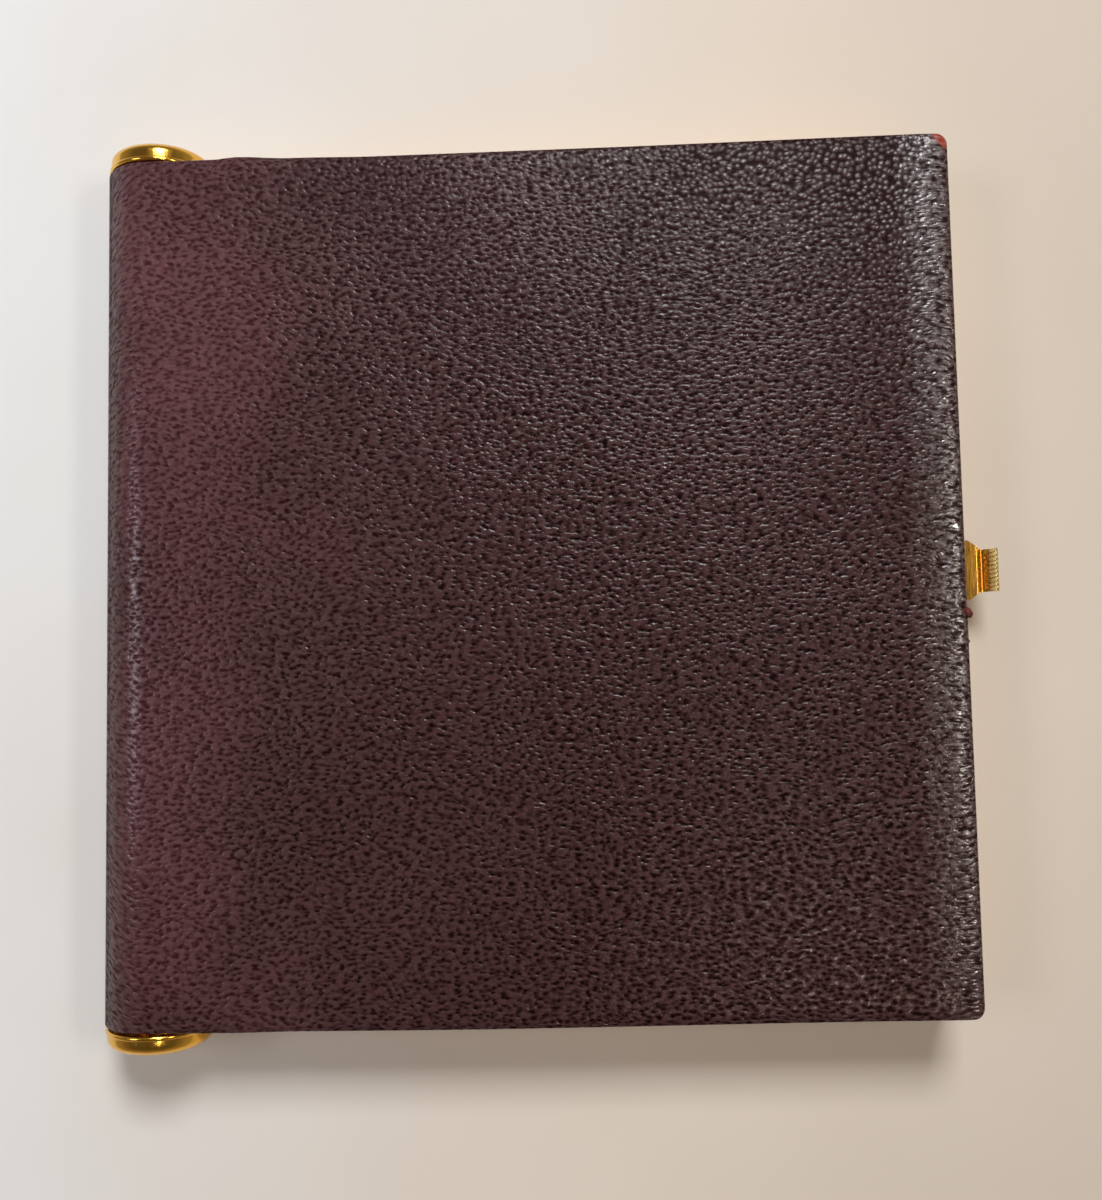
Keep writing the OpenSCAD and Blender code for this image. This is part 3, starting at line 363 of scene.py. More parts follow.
shine = add(tree, "ShaderNodeMath",
            {0: shine, 1: rubbed}, operation="MULTIPLY").outputs["Value"]
tree.links.new(shine, shader.inputs["Specular IOR Level"])

# Relief of the grain, flatter towards the spine
relief = add(tree, "ShaderNodeMath",
             {0: fine, 1: 0.5, 2: ridge}, operation="MULTIPLY_ADD").outputs["Value"]
crisp = add(tree, "ShaderNodeMapRange",
            {"Value": across, "To Min": 0.6, "To Max": 1.0}).outputs["Result"]
bump = add(tree, "ShaderNodeBump",
           {"Height": relief, "Strength": crisp, "Distance": RELIEF / 1000})
tree.links.new(bump.outputs["Normal"], shader.inputs["Normal"])


def unroll(bm):
    """Gives a leather bmesh the hide's own flat coordinates, in metres, round the spine.

    On the rim, the depth below the outer face counts as further out.
    """
    layer = bm.loops.layers.uv.new("unrolled")
    for face in bm.faces:
        for loop in face.loops:
            x, y, z = loop.vert.co * 1000
            inside = min(FREE_X - x, half_length(x, y) - abs(y))
            depth = min(TOP_Z - z, z) if inside < RIM else 0
            across, along = x, y
            if x < SPINE_X:
                across = SPINE_X - SPINE_R * math.atan2(SPINE_X - x, z - SPINE_R)
            elif z < SPINE_R:
                across = SPINE_X - math.pi * SPINE_R - (x - SPINE_X)
            if FREE_X - x < RIM:
                across += depth
            else:
                along += math.copysign(depth, y)
            loop[layer].uv = (across / 1000, along / 1000)


def piece(name, bm, finish, *replaced, sharp=40):
    """A piece with smooth faces, but for the edges over so many degrees.

    It is drawn in place of the CAD nodes that are named.
    """
    bmesh.ops.recalc_face_normals(bm, faces=bm.faces)
    mesh = bpy.data.meshes.new(name)
    bm.to_mesh(mesh)
    bm.free()
    mesh.shade_smooth()
    mesh.set_sharp_from_angle(angle=math.radians(sharp))
    mesh.materials.append(finish)
    made = bpy.data.objects.new(name, mesh)
    scene.collection.objects.link(made)
    if replaced:
        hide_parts(*replaced)
    return made


def cut(bm, x=None, y=None):
    """Cuts a whole bmesh along one plane across the case or along it."""
    at, normal = (mm(x, 0, 0), (1, 0, 0)) if y is None else (mm(0, y, 0), (0, 1, 0))
    bmesh.ops.bisect_plane(bm, geom=bm.verts[:] + bm.edges[:] + bm.faces[:], dist=1e-7,
                           plane_co=at, plane_no=normal)


def panel(corners, rounded, radius, xs, ys, top, bottom):
    """A flat closed panel with some of its corners rounded, cut at the xs and the ys.

    Returns its bmesh and its upper vertices.
    """
    bm = bmesh.new()
    rim = [bm.verts.new(mm(x, y, top)) for x, y in corners]
    bm.faces.new(rim)
    bmesh.ops.bevel(bm, geom=[rim[i] for i in rounded], offset=radius / 1000,
                    offset_type="OFFSET", affect="VERTICES", segments=8, profile=0.5,
                    material=-1)
    for x in xs:
        cut(bm, x=x)
    for y in ys:
        cut(bm, y=y)
    upper = set(bm.verts)
    bmesh.ops.extrude_face_region(bm, geom=bm.faces[:], use_keep_orig=True)
    for v in set(bm.verts) - upper:
        v.co.z = bottom / 1000
    return bm, upper


# The cover of the lid, with the leather over the hinge. Its upper side turns down at the
# rim, slopes to it over a few millimetres, most at the free edge, and is faintly uneven.
TURN, TURN_DROP = 1.2, 0.25
SLOPE, SLOPE_DROP = 6, 0.06
FREE_SLOPE, FREE_DROP = 3, 0.25
UNEVEN, UNEVEN_PER_M = 0.05, 55
SETTLED_PAST = 8
FOLD_CUTS = 16
COLUMNS, COLUMN = 68, 1.1
ROWS, ROW = 17, 2.5
near_rim = (0.1, 0.25, 0.45, 0.7, 1.0, 1.4, 2.0, 3.0)
corners = ((JOIN_X, HALF_L), (FREE_X, HALF_L), (FREE_X, -HALF_L), (JOIN_X, -HALF_L))
xs = [FOLD[0] + i * (FOLD[1] - FOLD[0]) / FOLD_CUTS for i in range(FOLD_CUTS + 1)]
xs += [FOLD[1] + (i + 1) * COLUMN for i in range(COLUMNS)] + [FREE_X - d for d in near_rim]
ys = [HALF_L - d for d in near_rim] + [i * ROW for i in range(ROWS + 1)]
ys = sorted({end * y for y in ys for end in (1, -1)})
bm, upper = panel(corners, (1, 2), CORNER_R, xs, ys, TOP_Z, TOP_Z - LEATHER)
for v in bm.verts:
    x, y = v.co.x * 1000, v.co.y * 1000
    if v in upper:
        past = Vector((x - FREE_X + CORNER_R, abs(y) - HALF_L + CORNER_R))
        inside = CORNER_R - past.length if min(past) > 0 else min(FREE_X - x, HALF_L - abs(y))
        rolled = 1 - min(max(inside, 0) / TURN, 1)
        sloped = 1 - min(max(inside, 0) / SLOPE, 1)
        free = 1 - min(max(FREE_X - x, 0) / FREE_SLOPE, 1)
        soft = noise.noise(v.co * UNEVEN_PER_M) * 0.5 + 0.5
        settled = min(max((x - FOLD[1]) / SETTLED_PAST, 0), 1)
        v.co.z -= (TURN_DROP * (1 - math.sqrt(1 - rolled * rolled))
                   + SLOPE_DROP * sloped * sloped + FREE_DROP * free * free
                   + UNEVEN * soft * settled) / 1000
    v.co.y *= half_length(x, y) / HALF_L
unroll(bm)
cover = piece("lid_cover", bm, hide, "hinge_leather", "lid_leather", sharp=60)
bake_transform(cover)

# The rest of the hide: the sheet under the tray and the round of the spine. It is cut
# where its ends bend, and its rims are pared.
PARED = 0.25
bm = bmesh.new()
strip = [bm.verts.new(mm(SPINE_X, y, z)) for y, z in
         ((-HALF_L, 0), (HALF_L, 0), (HALF_L, LEATHER), (-HALF_L, LEATHER))]
start = bm.faces.new(strip)
spun = bmesh.ops.spin(bm, geom=[start], cent=mm(SPINE_X, 0, SPINE_R), axis=(0, 1, 0),
                      angle=math.pi, steps=36)
crown = [f for f in spun["geom_last"] if isinstance(f, bmesh.types.BMFace)]
for face, reach in ((crown[0], JOIN_X), (start, FREE_X)):
    pushed = bmesh.ops.extrude_face_region(bm, geom=[face])
    bmesh.ops.delete(bm, geom=[face], context="FACES_ONLY")
    for v in pushed["geom"]:
        if isinstance(v, bmesh.types.BMVert):
            v.co.x = reach / 1000
for x in (-33.5, -32.2, -31, -29, -27, -25, -20, -15, 10, 30):
    cut(bm, x=x)
upright = [e for e in bm.edges if all(v.co.x > FREE_X / 1000 - 1e-6 for v in e.verts)
           and abs(e.verts[0].co.z - e.verts[1].co.z) > 1e-4]
bmesh.ops.bevel(bm, geom=upright, offset=CORNER_R / 1000, offset_type="OFFSET",
                affect="EDGES", segments=8, profile=0.5, material=-1)
bmesh.ops.recalc_face_normals(bm, faces=bm.faces)
pared = [e for e in bm.edges if e.is_manifold and e.calc_face_angle() > 1
         and min(v.co.x for v in e.verts) < (JOIN_X - 0.01) / 1000]
bmesh.ops.bevel(bm, geom=pared, offset=PARED / 1000, offset_type="OFFSET",
                affect="EDGES", segments=3, profile=0.5, material=-1)
for v in bm.verts:
    v.co.y *= half_length(v.co.x * 1000, v.co.y) / HALF_L
unroll(bm)
spine = piece("spine_and_back", bm, hide, "back_leather", sharp=60)
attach(spine, "base")

# Raw leather: two crumbs of red fibres stick out where the rim is chafed. They are matt,
# with lumps of 0.7 mm and tufts of 0.1 mm. The fibres are too fine to show, and are drawn
# coarser, at 0.2 mm.
CRUMB_Z = 10.85
raw, tree, shader, place = material("raw_leather_fibres", Roughness=0.85)
fibres = add(tree, "ShaderNodeTexNoise", {"Vector": place, "Scale": per(0.2), "Detail": 3.0})
tint = add(tree, "ShaderNodeValToRGB", {"Fac": fibres.outputs["Fac"]},
           ramp=[(0.35, "#3d120d"), (0.65, "#6e2b22")])
tree.links.new(tint.outputs["Color"], shader.inputs["Base Color"])
bump = add(tree, "ShaderNodeBump",
           {"Height": fibres.outputs["Fac"], "Strength": 0.8, "Distance": 0.1 / 1000})
tree.links.new(bump.outputs["Normal"], shader.inputs["Normal"])
bm = bmesh.new()
for y, radius in ((-4.9, 0.62), (-7.9, 0.25)):
    made = bmesh.ops.create_icosphere(bm, subdivisions=4, radius=radius / 1000,
                                      matrix=Matrix.Translation(mm(FREE_X - 0.1, y, CRUMB_Z)))
    for v in made["verts"]:
        for waves, lumpiness in ((1500, 0.5), (9000, 0.15)):
            v.co += (v.co - mm(FREE_X, y, CRUMB_Z)) * noise.noise(v.co * waves) * lumpiness
crumbs = piece("chafed_crumbs", bm, raw, sharp=80)
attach(crumbs, "lid")


# Brass: the tray, the lid and the fittings are pressed or drawn from sheet and tube,
# buffed bright where they show and left satin inside, under a warm lacquer.


def brass(name, dark, light, rough, scratch):
    """Lacquered brass: cloudy lacquer over fine buffing lines along the spine.

    The lines are too fine to show, and are drawn coarser, at 0.14 mm.
    """
    made, tree, shader, place = material(name, Metallic=1.0)
    clouds = add(tree, "ShaderNodeTexNoise",
                 {"Vector": place, "Scale": per(3.33), "Detail": 4.0})
    tint = add(tree, "ShaderNodeValToRGB", {"Fac": clouds.outputs["Fac"]},
               ramp=[(0.35, dark), (0.65, light)])
    tree.links.new(tint.outputs["Color"], shader.inputs["Base Color"])
    lines = add(tree, "ShaderNodeMapping",
                {"Vector": place, "Scale": (per(0.143), per(2), per(0.143))})
    lines = add(tree, "ShaderNodeTexNoise",
                {"Vector": lines.outputs["Vector"], "Scale": 1.0, "Detail": 3.0})
    gloss = add(tree, "ShaderNodeMapRange",
                {"Value": lines.outputs["Fac"], "From Min": 0.3, "From Max": 0.7,
                 "To Min": rough * 0.75, "To Max": rough * 1.35})
    tree.links.new(gloss.outputs["Result"], shader.inputs["Roughness"])
    bump = add(tree, "ShaderNodeBump",
               {"Height": lines.outputs["Fac"], "Strength": scratch,
                "Distance": 0.005 / 1000})
    tree.links.new(bump.outputs["Normal"], shader.inputs["Normal"])
    return made


# Polished brass mirrors its surroundings, softly and in deep gold
polished = brass("polished_brass", "#e6ad45", "#f1bf56", 0.17, 0.15)
# Satin brass has a soft sheen, paler and greener
satin = brass("satin_brass", "#cba052", "#d4ab5e", 0.26, 0.3)


def finished(name, finish, edge=0.0, sharp=35):
    """A CAD node with smooth faces and, where edge is given, broken edges of that width."""
    bm = bmesh.new()
    bm.from_mesh(frame["nodes"][name].data)
    bmesh.ops.remove_doubles(bm, verts=bm.verts, dist=1e-7)
    bmesh.ops.dissolve_limit(bm, angle_limit=math.radians(1), verts=bm.verts, edges=bm.edges)
    made = piece(name + "_finished", bm, finish, name, sharp=sharp)
    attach(made, BODY[name])
    if edge:
        rounding = made.modifiers.new("broken_edges", "BEVEL")
        rounding.width, rounding.segments = edge / 1000, 2
        rounding.limit_method, rounding.angle_limit = "ANGLE", math.radians(50)
        rounding.harden_normals = True
    return made


BODY = {node: body for body, nodes in frame["record"]["behaviour"]["bodies"].items()
        for node in nodes}
for name in ("base_tray", "lid_shell", "spine_barrel"):
    finished(name, polished, edge=0.05)
for name in ("spine_rail", "lid_striker", "clasp_bracket"):
    finished(name, satin, edge=0.05)


# End caps: domed caps with a rolled bead, spun from brass and polished. The upper
# one is plugged into the tube, and the lower one is the lipstick's knob.

CAP_R = 5.75
CAP_DOME = 1.8
CAP_BEAD = 0.3
CAP_FULLNESS = 0.75


def cap(name, replaced, start, plug_r, plug_l, rim):
    """A cap turned about the tube's axis: a plug, and from start a bead and a dome.

    The dome rises from the rim's height.
    """
    outwards = math.copysign(1, start)
    profile = [(0, -plug_l), (plug_r, -plug_l), (plug_r, 0), (CAP_R - CAP_BEAD, 0)]
    profile += [(CAP_R - CAP_BEAD + CAP_BEAD * math.cos(a), CAP_BEAD + CAP_BEAD * math.sin(a))
                for a in (math.radians(t) for t in range(-75, 61, 15))]
    profile += [((CAP_R - CAP_BEAD / 2) * math.cos(a) ** CAP_FULLNESS,
                 rim + CAP_DOME * math.sin(a) ** CAP_FULLNESS)
                for a in (math.pi / 2 * i / 20 for i in range(20))]
    profile += [(0, rim + CAP_DOME)]
    bm = bmesh.new()
    line = [bm.verts.new(mm(SPINE_X + r, start + outwards * h, SPINE_R)) for r, h in profile]
    edges = [bm.edges.new(pair) for pair in zip(line, line[1:])]
    bmesh.ops.spin(bm, geom=line + edges, cent=mm(SPINE_X, 0, SPINE_R), axis=(0, 1, 0),
                   angle=math.tau, steps=96, use_merge=True)
    bmesh.ops.remove_doubles(bm, verts=bm.verts, dist=1e-7)
    made = piece(name, bm, polished, replaced, sharp=50)
    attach(made, BODY[replaced])


cap("upper_cap", "end_cap", start=47.45, plug_r=4.53, plug_l=6, rim=1.1)
cap("knob_cap", "lipstick_knob", start=-47.9, plug_r=3.35, plug_l=7.3, rim=0.95)


# Clasp: one strip of brass, folded round its pin, with a tongue that ends in an
# upturned lip. The lip is grooved across with a file, so that a nail can lift it, and
# rounded over, with a painted highlight that turns it pale towards its end.

# Filed brass: deep gold, with a painted highlight of dull pale yellow where the lip rounds over
LIP = (50.7, 52.1)
LIP_DROP = 0.9
filed = brass("filed_brass", "#dc9d3c", "#e9b04e", 0.2, 0.15)
tree = filed.node_tree
shader = tree.nodes["Principled BSDF"]
spot = add(tree, "ShaderNodeTexCoord").outputs["Object"]
along = add(tree, "ShaderNodeSeparateXYZ", {"Vector": spot}).outputs["X"]
along = add(tree, "ShaderNodeMapRange",
            {"Value": along, "From Min": LIP[0] / 1000,
             "From Max": LIP[1] / 1000}).outputs["Result"]
# Painted highlight: the colour fades to pale yellow towards the lip's end
painted_highlight_colour = add(tree, "ShaderNodeMixRGB",
            {"Fac": along, "Color1": shader.inputs["Base Color"].links[0].from_socket,
             "Color2": srgb("#e6d79a")})
tree.links.new(painted_highlight_colour.outputs["Color"], shader.inputs["Base Color"])
duller = add(tree, "ShaderNodeMath",
             {0: along, 1: 0.25, 2: shader.inputs["Roughness"].links[0].from_socket},
             operation="MULTIPLY_ADD")
tree.links.new(duller.outputs["Value"], shader.inputs["Roughness"])
drop = add(tree, "ShaderNodeMath", {0: along, 1: 2.0}, operation="POWER")
rounded = add(tree, "ShaderNodeBump",
              {"Height": drop.outputs["Value"], "Distance": LIP_DROP / 1000,
               "Normal": shader.inputs["Normal"].links[0].from_socket}, invert=True)
tree.links.new(rounded.outputs["Normal"], shader.inputs["Normal"])
finished("clasp", filed, edge=0.05)


# Hinges: knuckles rolled from brass sheet turn on drawn steel pins. Flat springs of
# the same steel lift the powder door and close the clasp.

# Drawn spring steel: grey, with lines along it from the die. They are too fine to show,
# and are drawn coarser, at 0.2 mm.
steel, tree, shader, place = material("drawn_spring_steel", Metallic=1.0)
lines = add(tree, "ShaderNodeMapping",
            {"Vector": place, "Scale": (per(0.2), per(3.33), per(0.2))})
lines = add(tree, "ShaderNodeTexNoise",
            {"Vector": lines.outputs["Vector"], "Scale": 1.0, "Detail": 2.0})
tint = add(tree, "ShaderNodeValToRGB", {"Fac": lines.outputs["Fac"]},
           ramp=[(0.3, "#8d8f93"), (0.7, "#b4b5b8")])
tree.links.new(tint.outputs["Color"], shader.inputs["Base Color"])
gloss = add(tree, "ShaderNodeMapRange",
            {"Value": lines.outputs["Fac"], "To Min": 0.2, "To Max": 0.42})
tree.links.new(gloss.outputs["Result"], shader.inputs["Roughness"])

for name in ("base_leaf", "lid_leaf"):
    finished(name, satin)
for name in ("hinge_pin", "door_pin", "door_spring", "clasp_pin", "clasp_spring", "knob_ring"):
    finished(name, steel)


# Deck: a plate pressed from brass sheet, with openings for the pans and the powder
# door, which is a flat plate with rolled knuckles. The deck is satin, and the door
# polished.

finished("deck", satin, edge=0.06)
finished("powder_door", polished, edge=0.06)


# Powder compartment: a pressed brass well with loose powder under a sifter, which is
# a fine net of cotton stretched in a brass rim.

# Loose face powder: matt, warm and pale, in soft clumps of a millimetre
powder, tree, shader, place = material("loose_face_powder", Roughness=1.0)
clumps = add(tree, "ShaderNodeTexNoise", {"Vector": place, "Scale": per(1.11), "Detail": 5.0})
tint = add(tree, "ShaderNodeValToRGB", {"Fac": clumps.outputs["Fac"]},
           ramp=[(0.3, "#cfa98a"), (0.7, "#e6c6a8")])
tree.links.new(tint.outputs["Color"], shader.inputs["Base Color"])
bump = add(tree, "ShaderNodeBump",
           {"Height": clumps.outputs["Fac"], "Strength": 0.9, "Distance": 0.2 / 1000})
tree.links.new(bump.outputs["Normal"], shader.inputs["Normal"])
frame["nodes"]["powder"].data.materials.clear()
frame["nodes"]["powder"].data.materials.append(powder)

finished("powder_well", satin, edge=0.05)
finished("sifter_frame", satin, edge=0.04)

# Cotton net: matt off-white threads with a twist. They are too fine to show, and are
# drawn coarser, 0.11 mm thick.
NET_MESH = 1.11
NET_THREAD = 0.11
cotton, tree, shader, place = material("cotton_net", Roughness=0.9)
twist = add(tree, "ShaderNodeTexNoise", {"Vector": place, "Scale": per(0.25), "Detail": 2.0})
tint = add(tree, "ShaderNodeValToRGB", {"Fac": twist.outputs["Fac"]},
           ramp=[(0.3, "#d8cfbd"), (0.7, "#f0eadd")])
tree.links.new(tint.outputs["Color"], shader.inputs["Base Color"])
low, high = (p * 1000 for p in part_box("sifter_net"))
width, length = high.x - low.x, high.y - low.y
bm = bmesh.new()
bmesh.ops.create_grid(bm, x_segments=round(width / NET_MESH), size=0.5 / 1000,
                      y_segments=round(length / NET_MESH),
                      matrix=Matrix.Translation(mm(*(low + high) / 2))
                      @ Matrix.Diagonal((width, length, 1, 1)))
bmesh.ops.wireframe(bm, faces=bm.faces[:], thickness=NET_THREAD / 1000, use_replace=True,
                    use_boundary=True, use_even_offset=True)
net = piece("sifter_threads", bm, cotton, "sifter_net")
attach(net, "base")


# Puff: two pieces of velour with round corners, sewn edge to edge over a thin pad and
# turned, with a satin ribbon across its back for the fingers.

# Velour: a dense short pile, so it is pale at grazing angles and brushed into patches.
# It is too fine to show, and is drawn coarser, at 0.3 mm.
velour, tree, shader, place = material("cotton_velour", Roughness=1.0, Sheen_Weight=0.6,
                                       Sheen_Roughness=0.4)
pile = add(tree, "ShaderNodeTexNoise", {"Vector": place, "Scale": per(0.286), "Detail": 3.0})
brushed = add(tree, "ShaderNodeTexNoise", {"Vector": place, "Scale": per(6.25), "Detail": 3.0})
mixed = add(tree, "ShaderNodeMath",
            {0: pile.outputs["Fac"], 1: 0.5, 2: brushed.outputs["Fac"]},
            operation="MULTIPLY_ADD")
tint = add(tree, "ShaderNodeValToRGB", {"Fac": mixed.outputs["Value"]},
           ramp=[(0.5, "#dcb9ac"), (0.95, "#efd8cd")])
tree.links.new(tint.outputs["Color"], shader.inputs["Base Color"])
bump = add(tree, "ShaderNodeBump",
           {"Height": pile.outputs["Fac"], "Strength": 1.0, "Distance": 0.2 / 1000})
tree.links.new(bump.outputs["Normal"], shader.inputs["Normal"])

puff = finished("puff", velour, sharp=180)
rounding = puff.modifiers.new("full", "SUBSURF")
rounding.levels = rounding.render_levels = 1

# Piping sewn into the puff's seam, along its four sides and round its corners
PIPING_R = 0.22
PIPING_IN = 0.05
PIPING_POINTS = 160
CORNERING = 0.45
low, high = (p * 1000 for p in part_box("puff"))
middle = (low + high) / 2
half = (high - low) / 2
curve = bpy.data.curves.new("puff_piping", "CURVE")
curve.dimensions = "3D"
curve.bevel_depth = PIPING_R / 1000
curve.bevel_resolution = 3
line = curve.splines.new("POLY")
line.points.add(PIPING_POINTS - 1)
line.use_cyclic_u = True
for i, point in enumerate(line.points):
    reach = [math.copysign(abs(turn) ** CORNERING, turn) for turn in
             (math.cos(math.tau * i / PIPING_POINTS), math.sin(math.tau * i / PIPING_POINTS))]
    x = middle.x + (half.x - PIPING_IN) * reach[0]
    y = middle.y + (half.y - PIPING_IN) * reach[1]
    point.co = (*mm(x, y, middle.z), 1)
curve.materials.append(velour)
piping = bpy.data.objects.new("puff_piping", curve)
scene.collection.objects.link(piping)
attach(piping, "base")

# Satin ribbon: floats of rayon along it, glossy across them. They are too fine to show,
# and are drawn coarser, at 0.17 mm. The ribbon bows up from the puff between its sewn
# ends, and its selvedges are thicker.
RIBBON_BOW = 0.22
RIBBON_SUNK = 0.05
SELVEDGE = 0.35
SELVEDGE_RISE = 0.04
RIBBON_CUTS = 24
satin_weave, tree, shader, place = material("rayon_satin", Roughness=0.42, Sheen_Weight=0.3)
floats = add(tree, "ShaderNodeMapping",
             {"Vector": place, "Scale": (per(0.1667), per(1.11), per(0.1667))})
floats = add(tree, "ShaderNodeTexNoise",
             {"Vector": floats.outputs["Vector"], "Scale": 1.0, "Detail": 2.0})
tint = add(tree, "ShaderNodeValToRGB", {"Fac": floats.outputs["Fac"]},
           ramp=[(0.3, "#b3776d"), (0.7, "#d29a8f")])
tree.links.new(tint.outputs["Color"], shader.inputs["Base Color"])
bump = add(tree, "ShaderNodeBump",
           {"Height": floats.outputs["Fac"], "Strength": 0.5, "Distance": 0.03 / 1000})
tree.links.new(bump.outputs["Normal"], shader.inputs["Normal"])
low, high = (p * 1000 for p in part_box("puff_ribbon"))
corners = ((low.x, low.y), (high.x, low.y), (high.x, high.y), (low.x, high.y))
length = high.y - low.y
bm, upper = panel(corners, (), 0,
                  [low.x + SELVEDGE, (low.x + high.x) / 2, high.x - SELVEDGE],
                  [low.y + i * length / RIBBON_CUTS for i in range(1, RIBBON_CUTS)],
                  high.z - RIBBON_SUNK, low.z)
for v in bm.verts:
    along = (v.co.y * 1000 - low.y) / length
    v.co.z += RIBBON_BOW * math.sqrt(max(0, math.sin(math.pi * along))) / 1000
    inside = min(v.co.x * 1000 - low.x, high.x - v.co.x * 1000)
    if inside < SELVEDGE / 2 and v in upper:
        v.co.z += SELVEDGE_RISE / 1000
ribbon = piece("satin_ribbon", bm, satin_weave, "puff_ribbon", sharp=60)
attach(ribbon, "base")


# Colour pans: pressed brass pans whose rims lie on the deck, with cakes of rouge and
# of eye shadow. The press leaves a quilted pattern on a cake, and use has dulled it.

CAKE_CORNER = 1.15
CAKE_STEP = 0.3
CAKE_BORDER = 1.2
QUILT = 3.1
GROOVE_SHARE, GROOVE_DEPTH = 0.16, 0.25
WEAR_REACH, WEAR_DEPTH = 0.6, 0.12


def cake(name, replaced, dark, light):
    """A cake of pressed powder: matt and quilted, with a fine grit.

    The grit is too fine to show, and is drawn coarser, at 0.2 mm.
    """
    finish, tree, shader, place = material(name, Roughness=0.95)
    grit = add(tree, "ShaderNodeTexNoise",
               {"Vector": place, "Scale": per(0.192), "Detail": 3.0})
    worn = add(tree, "ShaderNodeTexNoise",
               {"Vector": place, "Scale": per(3.85), "Detail": 4.0})
    mixed = add(tree, "ShaderNodeMath",
                {0: grit.outputs["Fac"], 1: 0.3, 2: worn.outputs["Fac"]},
                operation="MULTIPLY_ADD")
    tint = add(tree, "ShaderNodeValToRGB", {"Fac": mixed.outputs["Value"]},
               ramp=[(0.45, dark), (0.85, light)])
    tree.links.new(tint.outputs["Color"], shader.inputs["Base Color"])
    bump = add(tree, "ShaderNodeBump",
               {"Height": grit.outputs["Fac"], "Strength": 0.6, "Distance": 0.05 / 1000})
    tree.links.new(bump.outputs["Normal"], shader.inputs["Normal"])
    low, high = (p * 1000 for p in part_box(replaced))
    width, length = high.x - low.x, high.y - low.y
    corners = ((low.x, low.y), (high.x, low.y), (high.x, high.y), (low.x, high.y))
    bm, upper = panel(corners, (0, 1, 2, 3), CAKE_CORNER,
                      [low.x + i * CAKE_STEP for i in range(1, int(width / CAKE_STEP) + 1)],
                      [low.y + i * CAKE_STEP for i in range(1, int(length / CAKE_STEP) + 1)],
                      high.z, low.z)
    for v in upper:
        x, y = v.co.x * 1000 - low.x, v.co.y * 1000 - low.y
        inside = min(x, width - x, y, length - y)
        groove = min(abs((x + y) / QUILT % 1 - 0.5), abs((x - y) / QUILT % 1 - 0.5))
        depth = GROOVE_DEPTH * max(0, 1 - groove / GROOVE_SHARE) ** 2
        v.co.z -= ((depth if inside >= CAKE_BORDER else 0)
                   + WEAR_DEPTH * max(0, 1 - inside / WEAR_REACH)) / 1000
    made = piece(name + "_cake", bm, finish, replaced, sharp=70)
    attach(made, "base")


for name in ("rouge_pan", "shadow_pan", "applicator_tray"):
    finished(name, polished, edge=0.04)
# Rouge is a matt rose red, and the eye shadow a matt grey blue
cake("pressed_rouge", "rouge", "#a53a4b", "#c2586a")
cake("pressed_eye_shadow", "eye_shadow", "#6a7483", "#8e98a8")


# Applicator: a handle of moulded black polystyrene with a latex foam tip pushed on
# at each end. It lies loose in its trough.

# Moulded polystyrene: glossy black with a faint parting wave
plastic, tree, shader, place = material("moulded_polystyrene", Roughness=0.2)
wave = add(tree, "ShaderNodeTexNoise", {"Vector": place, "Scale": per(2)})
tint = add(tree, "ShaderNodeValToRGB", {"Fac": wave.outputs["Fac"]},
           ramp=[(0.3, "#141315"), (0.7, "#201f22")])
tree.links.new(tint.outputs["Color"], shader.inputs["Base Color"])
finished("applicator_handle", plastic, edge=0.15)

# Latex foam: pale and matt with open cells of 0.2 mm. Each tip is a round dome that
# narrows to a neck round the handle.
TIP_L = 9
TIP_DOME_L = 3.4
TIP_NECK = ((0, 0), (0.86, 0), (0.98, -0.25), (1.15, -1.4))
foam, tree, shader, place = material("latex_foam", Roughness=0.95)
cells = add(tree, "ShaderNodeTexVoronoi", {"Vector": place, "Scale": per(0.222)})
tint = add(tree, "ShaderNodeValToRGB", {"Fac": cells.outputs["Distance"]},
           ramp=[(0.1, "#b5a68c"), (0.5, "#eadfca")])
tree.links.new(tint.outputs["Color"], shader.inputs["Base Color"])
bump = add(tree, "ShaderNodeBump",
           {"Height": cells.outputs["Distance"], "Strength": 0.8, "Distance": 0.1 / 1000})
tree.links.new(bump.outputs["Normal"], shader.inputs["Normal"])
low, high = (p * 1000 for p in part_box("applicator_tips"))
middle = (low + high) / 2
tip_r = (high.z - low.z) / 2
bm = bmesh.new()
for end in (-1, 1):
    outer = middle.x + end * (high.x - low.x) / 2
    profile = [(r, TIP_L + x) for r, x in TIP_NECK]
    profile += [(tip_r * math.sin(a) ** 0.9, TIP_DOME_L * (1 - math.cos(a)))
                for a in (math.pi / 2 * i / 14 for i in range(14, -1, -1))]
    line = [bm.verts.new(mm(outer - end * x, middle.y + r, middle.z)) for r, x in profile]
    edges = [bm.edges.new(pair) for pair in zip(line, line[1:])]
    bmesh.ops.spin(bm, geom=line + edges, cent=mm(0, middle.y, middle.z), axis=(1, 0, 0),
                   angle=math.tau, steps=40, use_merge=True)
bmesh.ops.remove_doubles(bm, verts=bm.verts, dist=1e-7)
tips = piece("foam_tips", bm, foam, "applicator_tips", sharp=60)
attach(tips, "base")


# Mirror: silvered glass on grey board, held in the lid by a frame folded from brass.
# Rubber buttons on the frame hold the powder door down when the case is closed.

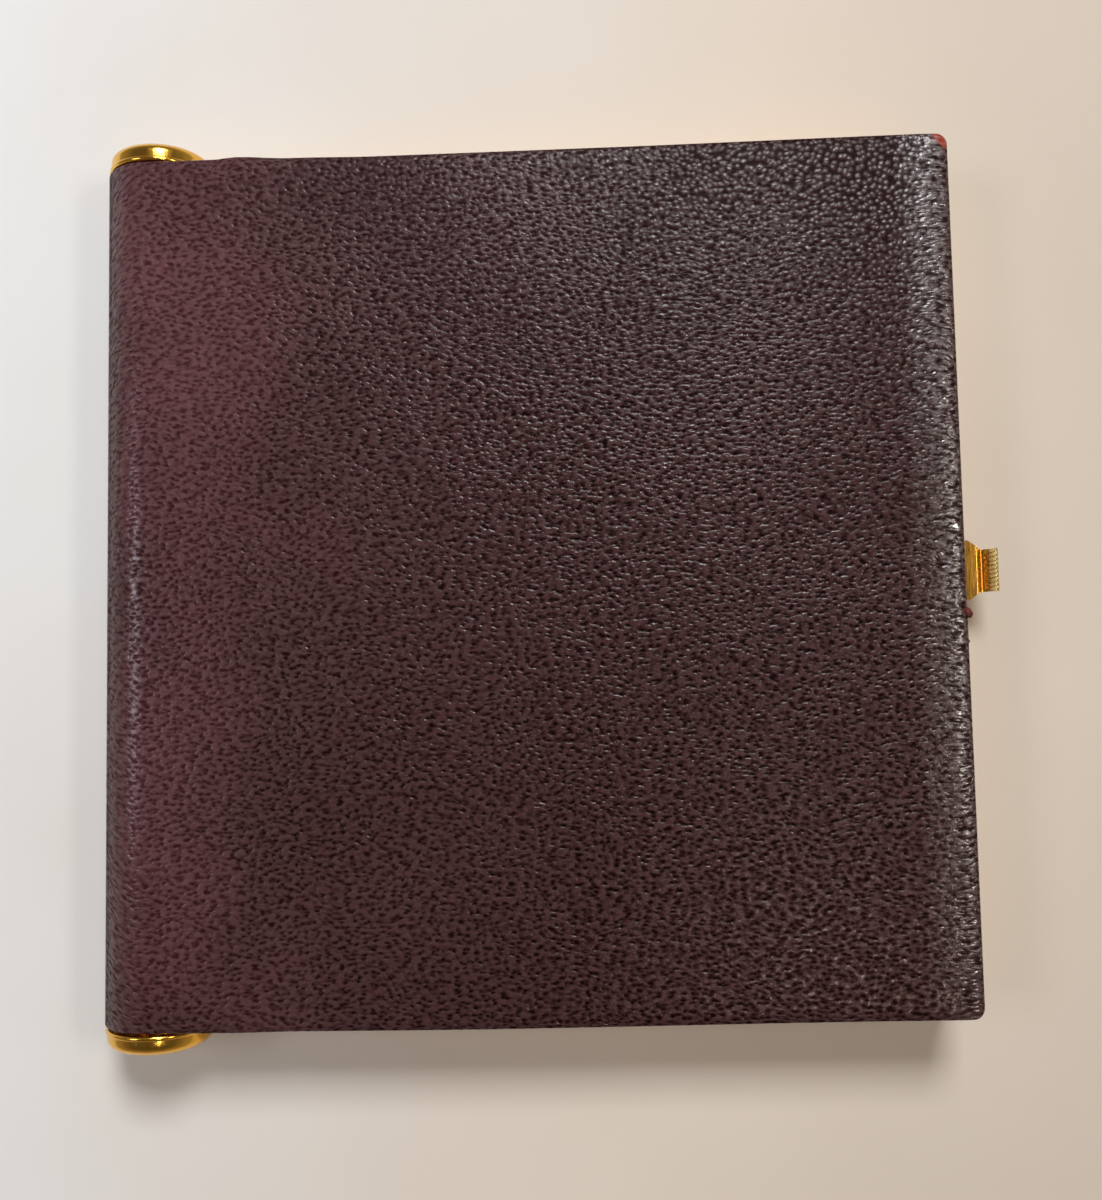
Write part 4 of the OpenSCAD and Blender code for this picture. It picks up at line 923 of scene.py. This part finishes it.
# Silvered glass: a clear reflection, slightly dimmed by the glass, with faint foxing
silvered, tree, shader, place = material("silvered_glass", Metallic=1.0)
foxing = add(tree, "ShaderNodeTexNoise", {"Vector": place, "Scale": per(3.85), "Detail": 6.0})
tint = add(tree, "ShaderNodeValToRGB", {"Fac": foxing.outputs["Fac"]},
           ramp=[(0.26, "#b9bcb6"), (0.36, "#e3e8e7")])
tree.links.new(tint.outputs["Color"], shader.inputs["Base Color"])
gloss = add(tree, "ShaderNodeMapRange",
            {"Value": foxing.outputs["Fac"], "From Min": 0.24, "From Max": 0.36,
             "To Min": 0.12, "To Max": 0.015})
tree.links.new(gloss.outputs["Result"], shader.inputs["Roughness"])
finished("mirror", silvered, edge=0.15)
finished("mirror_frame", polished, edge=0.06)

# Grey board: pulp with darker fibres
board, tree, shader, place = material("grey_board", Roughness=0.95)
pulp = add(tree, "ShaderNodeTexNoise", {"Vector": place, "Scale": per(0.667), "Detail": 4.0})
tint = add(tree, "ShaderNodeValToRGB", {"Fac": pulp.outputs["Fac"]},
           ramp=[(0.3, "#857763"), (0.7, "#a59883")])
tree.links.new(tint.outputs["Color"], shader.inputs["Base Color"])
finished("mirror_card", board)

# Moulded rubber: matt black with a fine bloom
rubber, tree, shader, place = material("moulded_rubber", Roughness=0.75)
bloom = add(tree, "ShaderNodeTexNoise", {"Vector": place, "Scale": per(0.4), "Detail": 3.0})
tint = add(tree, "ShaderNodeValToRGB", {"Fac": bloom.outputs["Fac"]},
           ramp=[(0.3, "#19191a"), (0.7, "#2c2b2b")])
tree.links.new(tint.outputs["Color"], shader.inputs["Base Color"])
finished("lid_buttons", rubber, edge=0.2)


# Lipstick: drawn brass tubes. In its case is one with two spiral slots, the knob's tube
# has two straight ones, and the cup with the stick rides in both on its lugs.

for name, finish in (("lipstick_case", polished), ("lipstick_spiral", satin),
                     ("lipstick_slotted_tube", satin), ("lipstick_cup", polished)):
    finished(name, finish, edge=0.04)

# Lipstick: deep red wax, cast in a mould and cut slantwise, with a silky shine
wax, tree, shader, place = material("cast_lipstick_wax", Subsurface_Weight=0.08,
                                    Subsurface_Scale=0.8 / 1000)
cast = add(tree, "ShaderNodeTexNoise", {"Vector": place, "Scale": per(1.43), "Detail": 4.0})
tint = add(tree, "ShaderNodeValToRGB", {"Fac": cast.outputs["Fac"]},
           ramp=[(0.3, "#8b1122"), (0.7, "#a51d31")])
tree.links.new(tint.outputs["Color"], shader.inputs["Base Color"])
gloss = add(tree, "ShaderNodeMapRange",
            {"Value": cast.outputs["Fac"], "To Min": 0.3, "To Max": 0.5})
tree.links.new(gloss.outputs["Result"], shader.inputs["Roughness"])
finished("lipstick_stick", wax, edge=0.2)
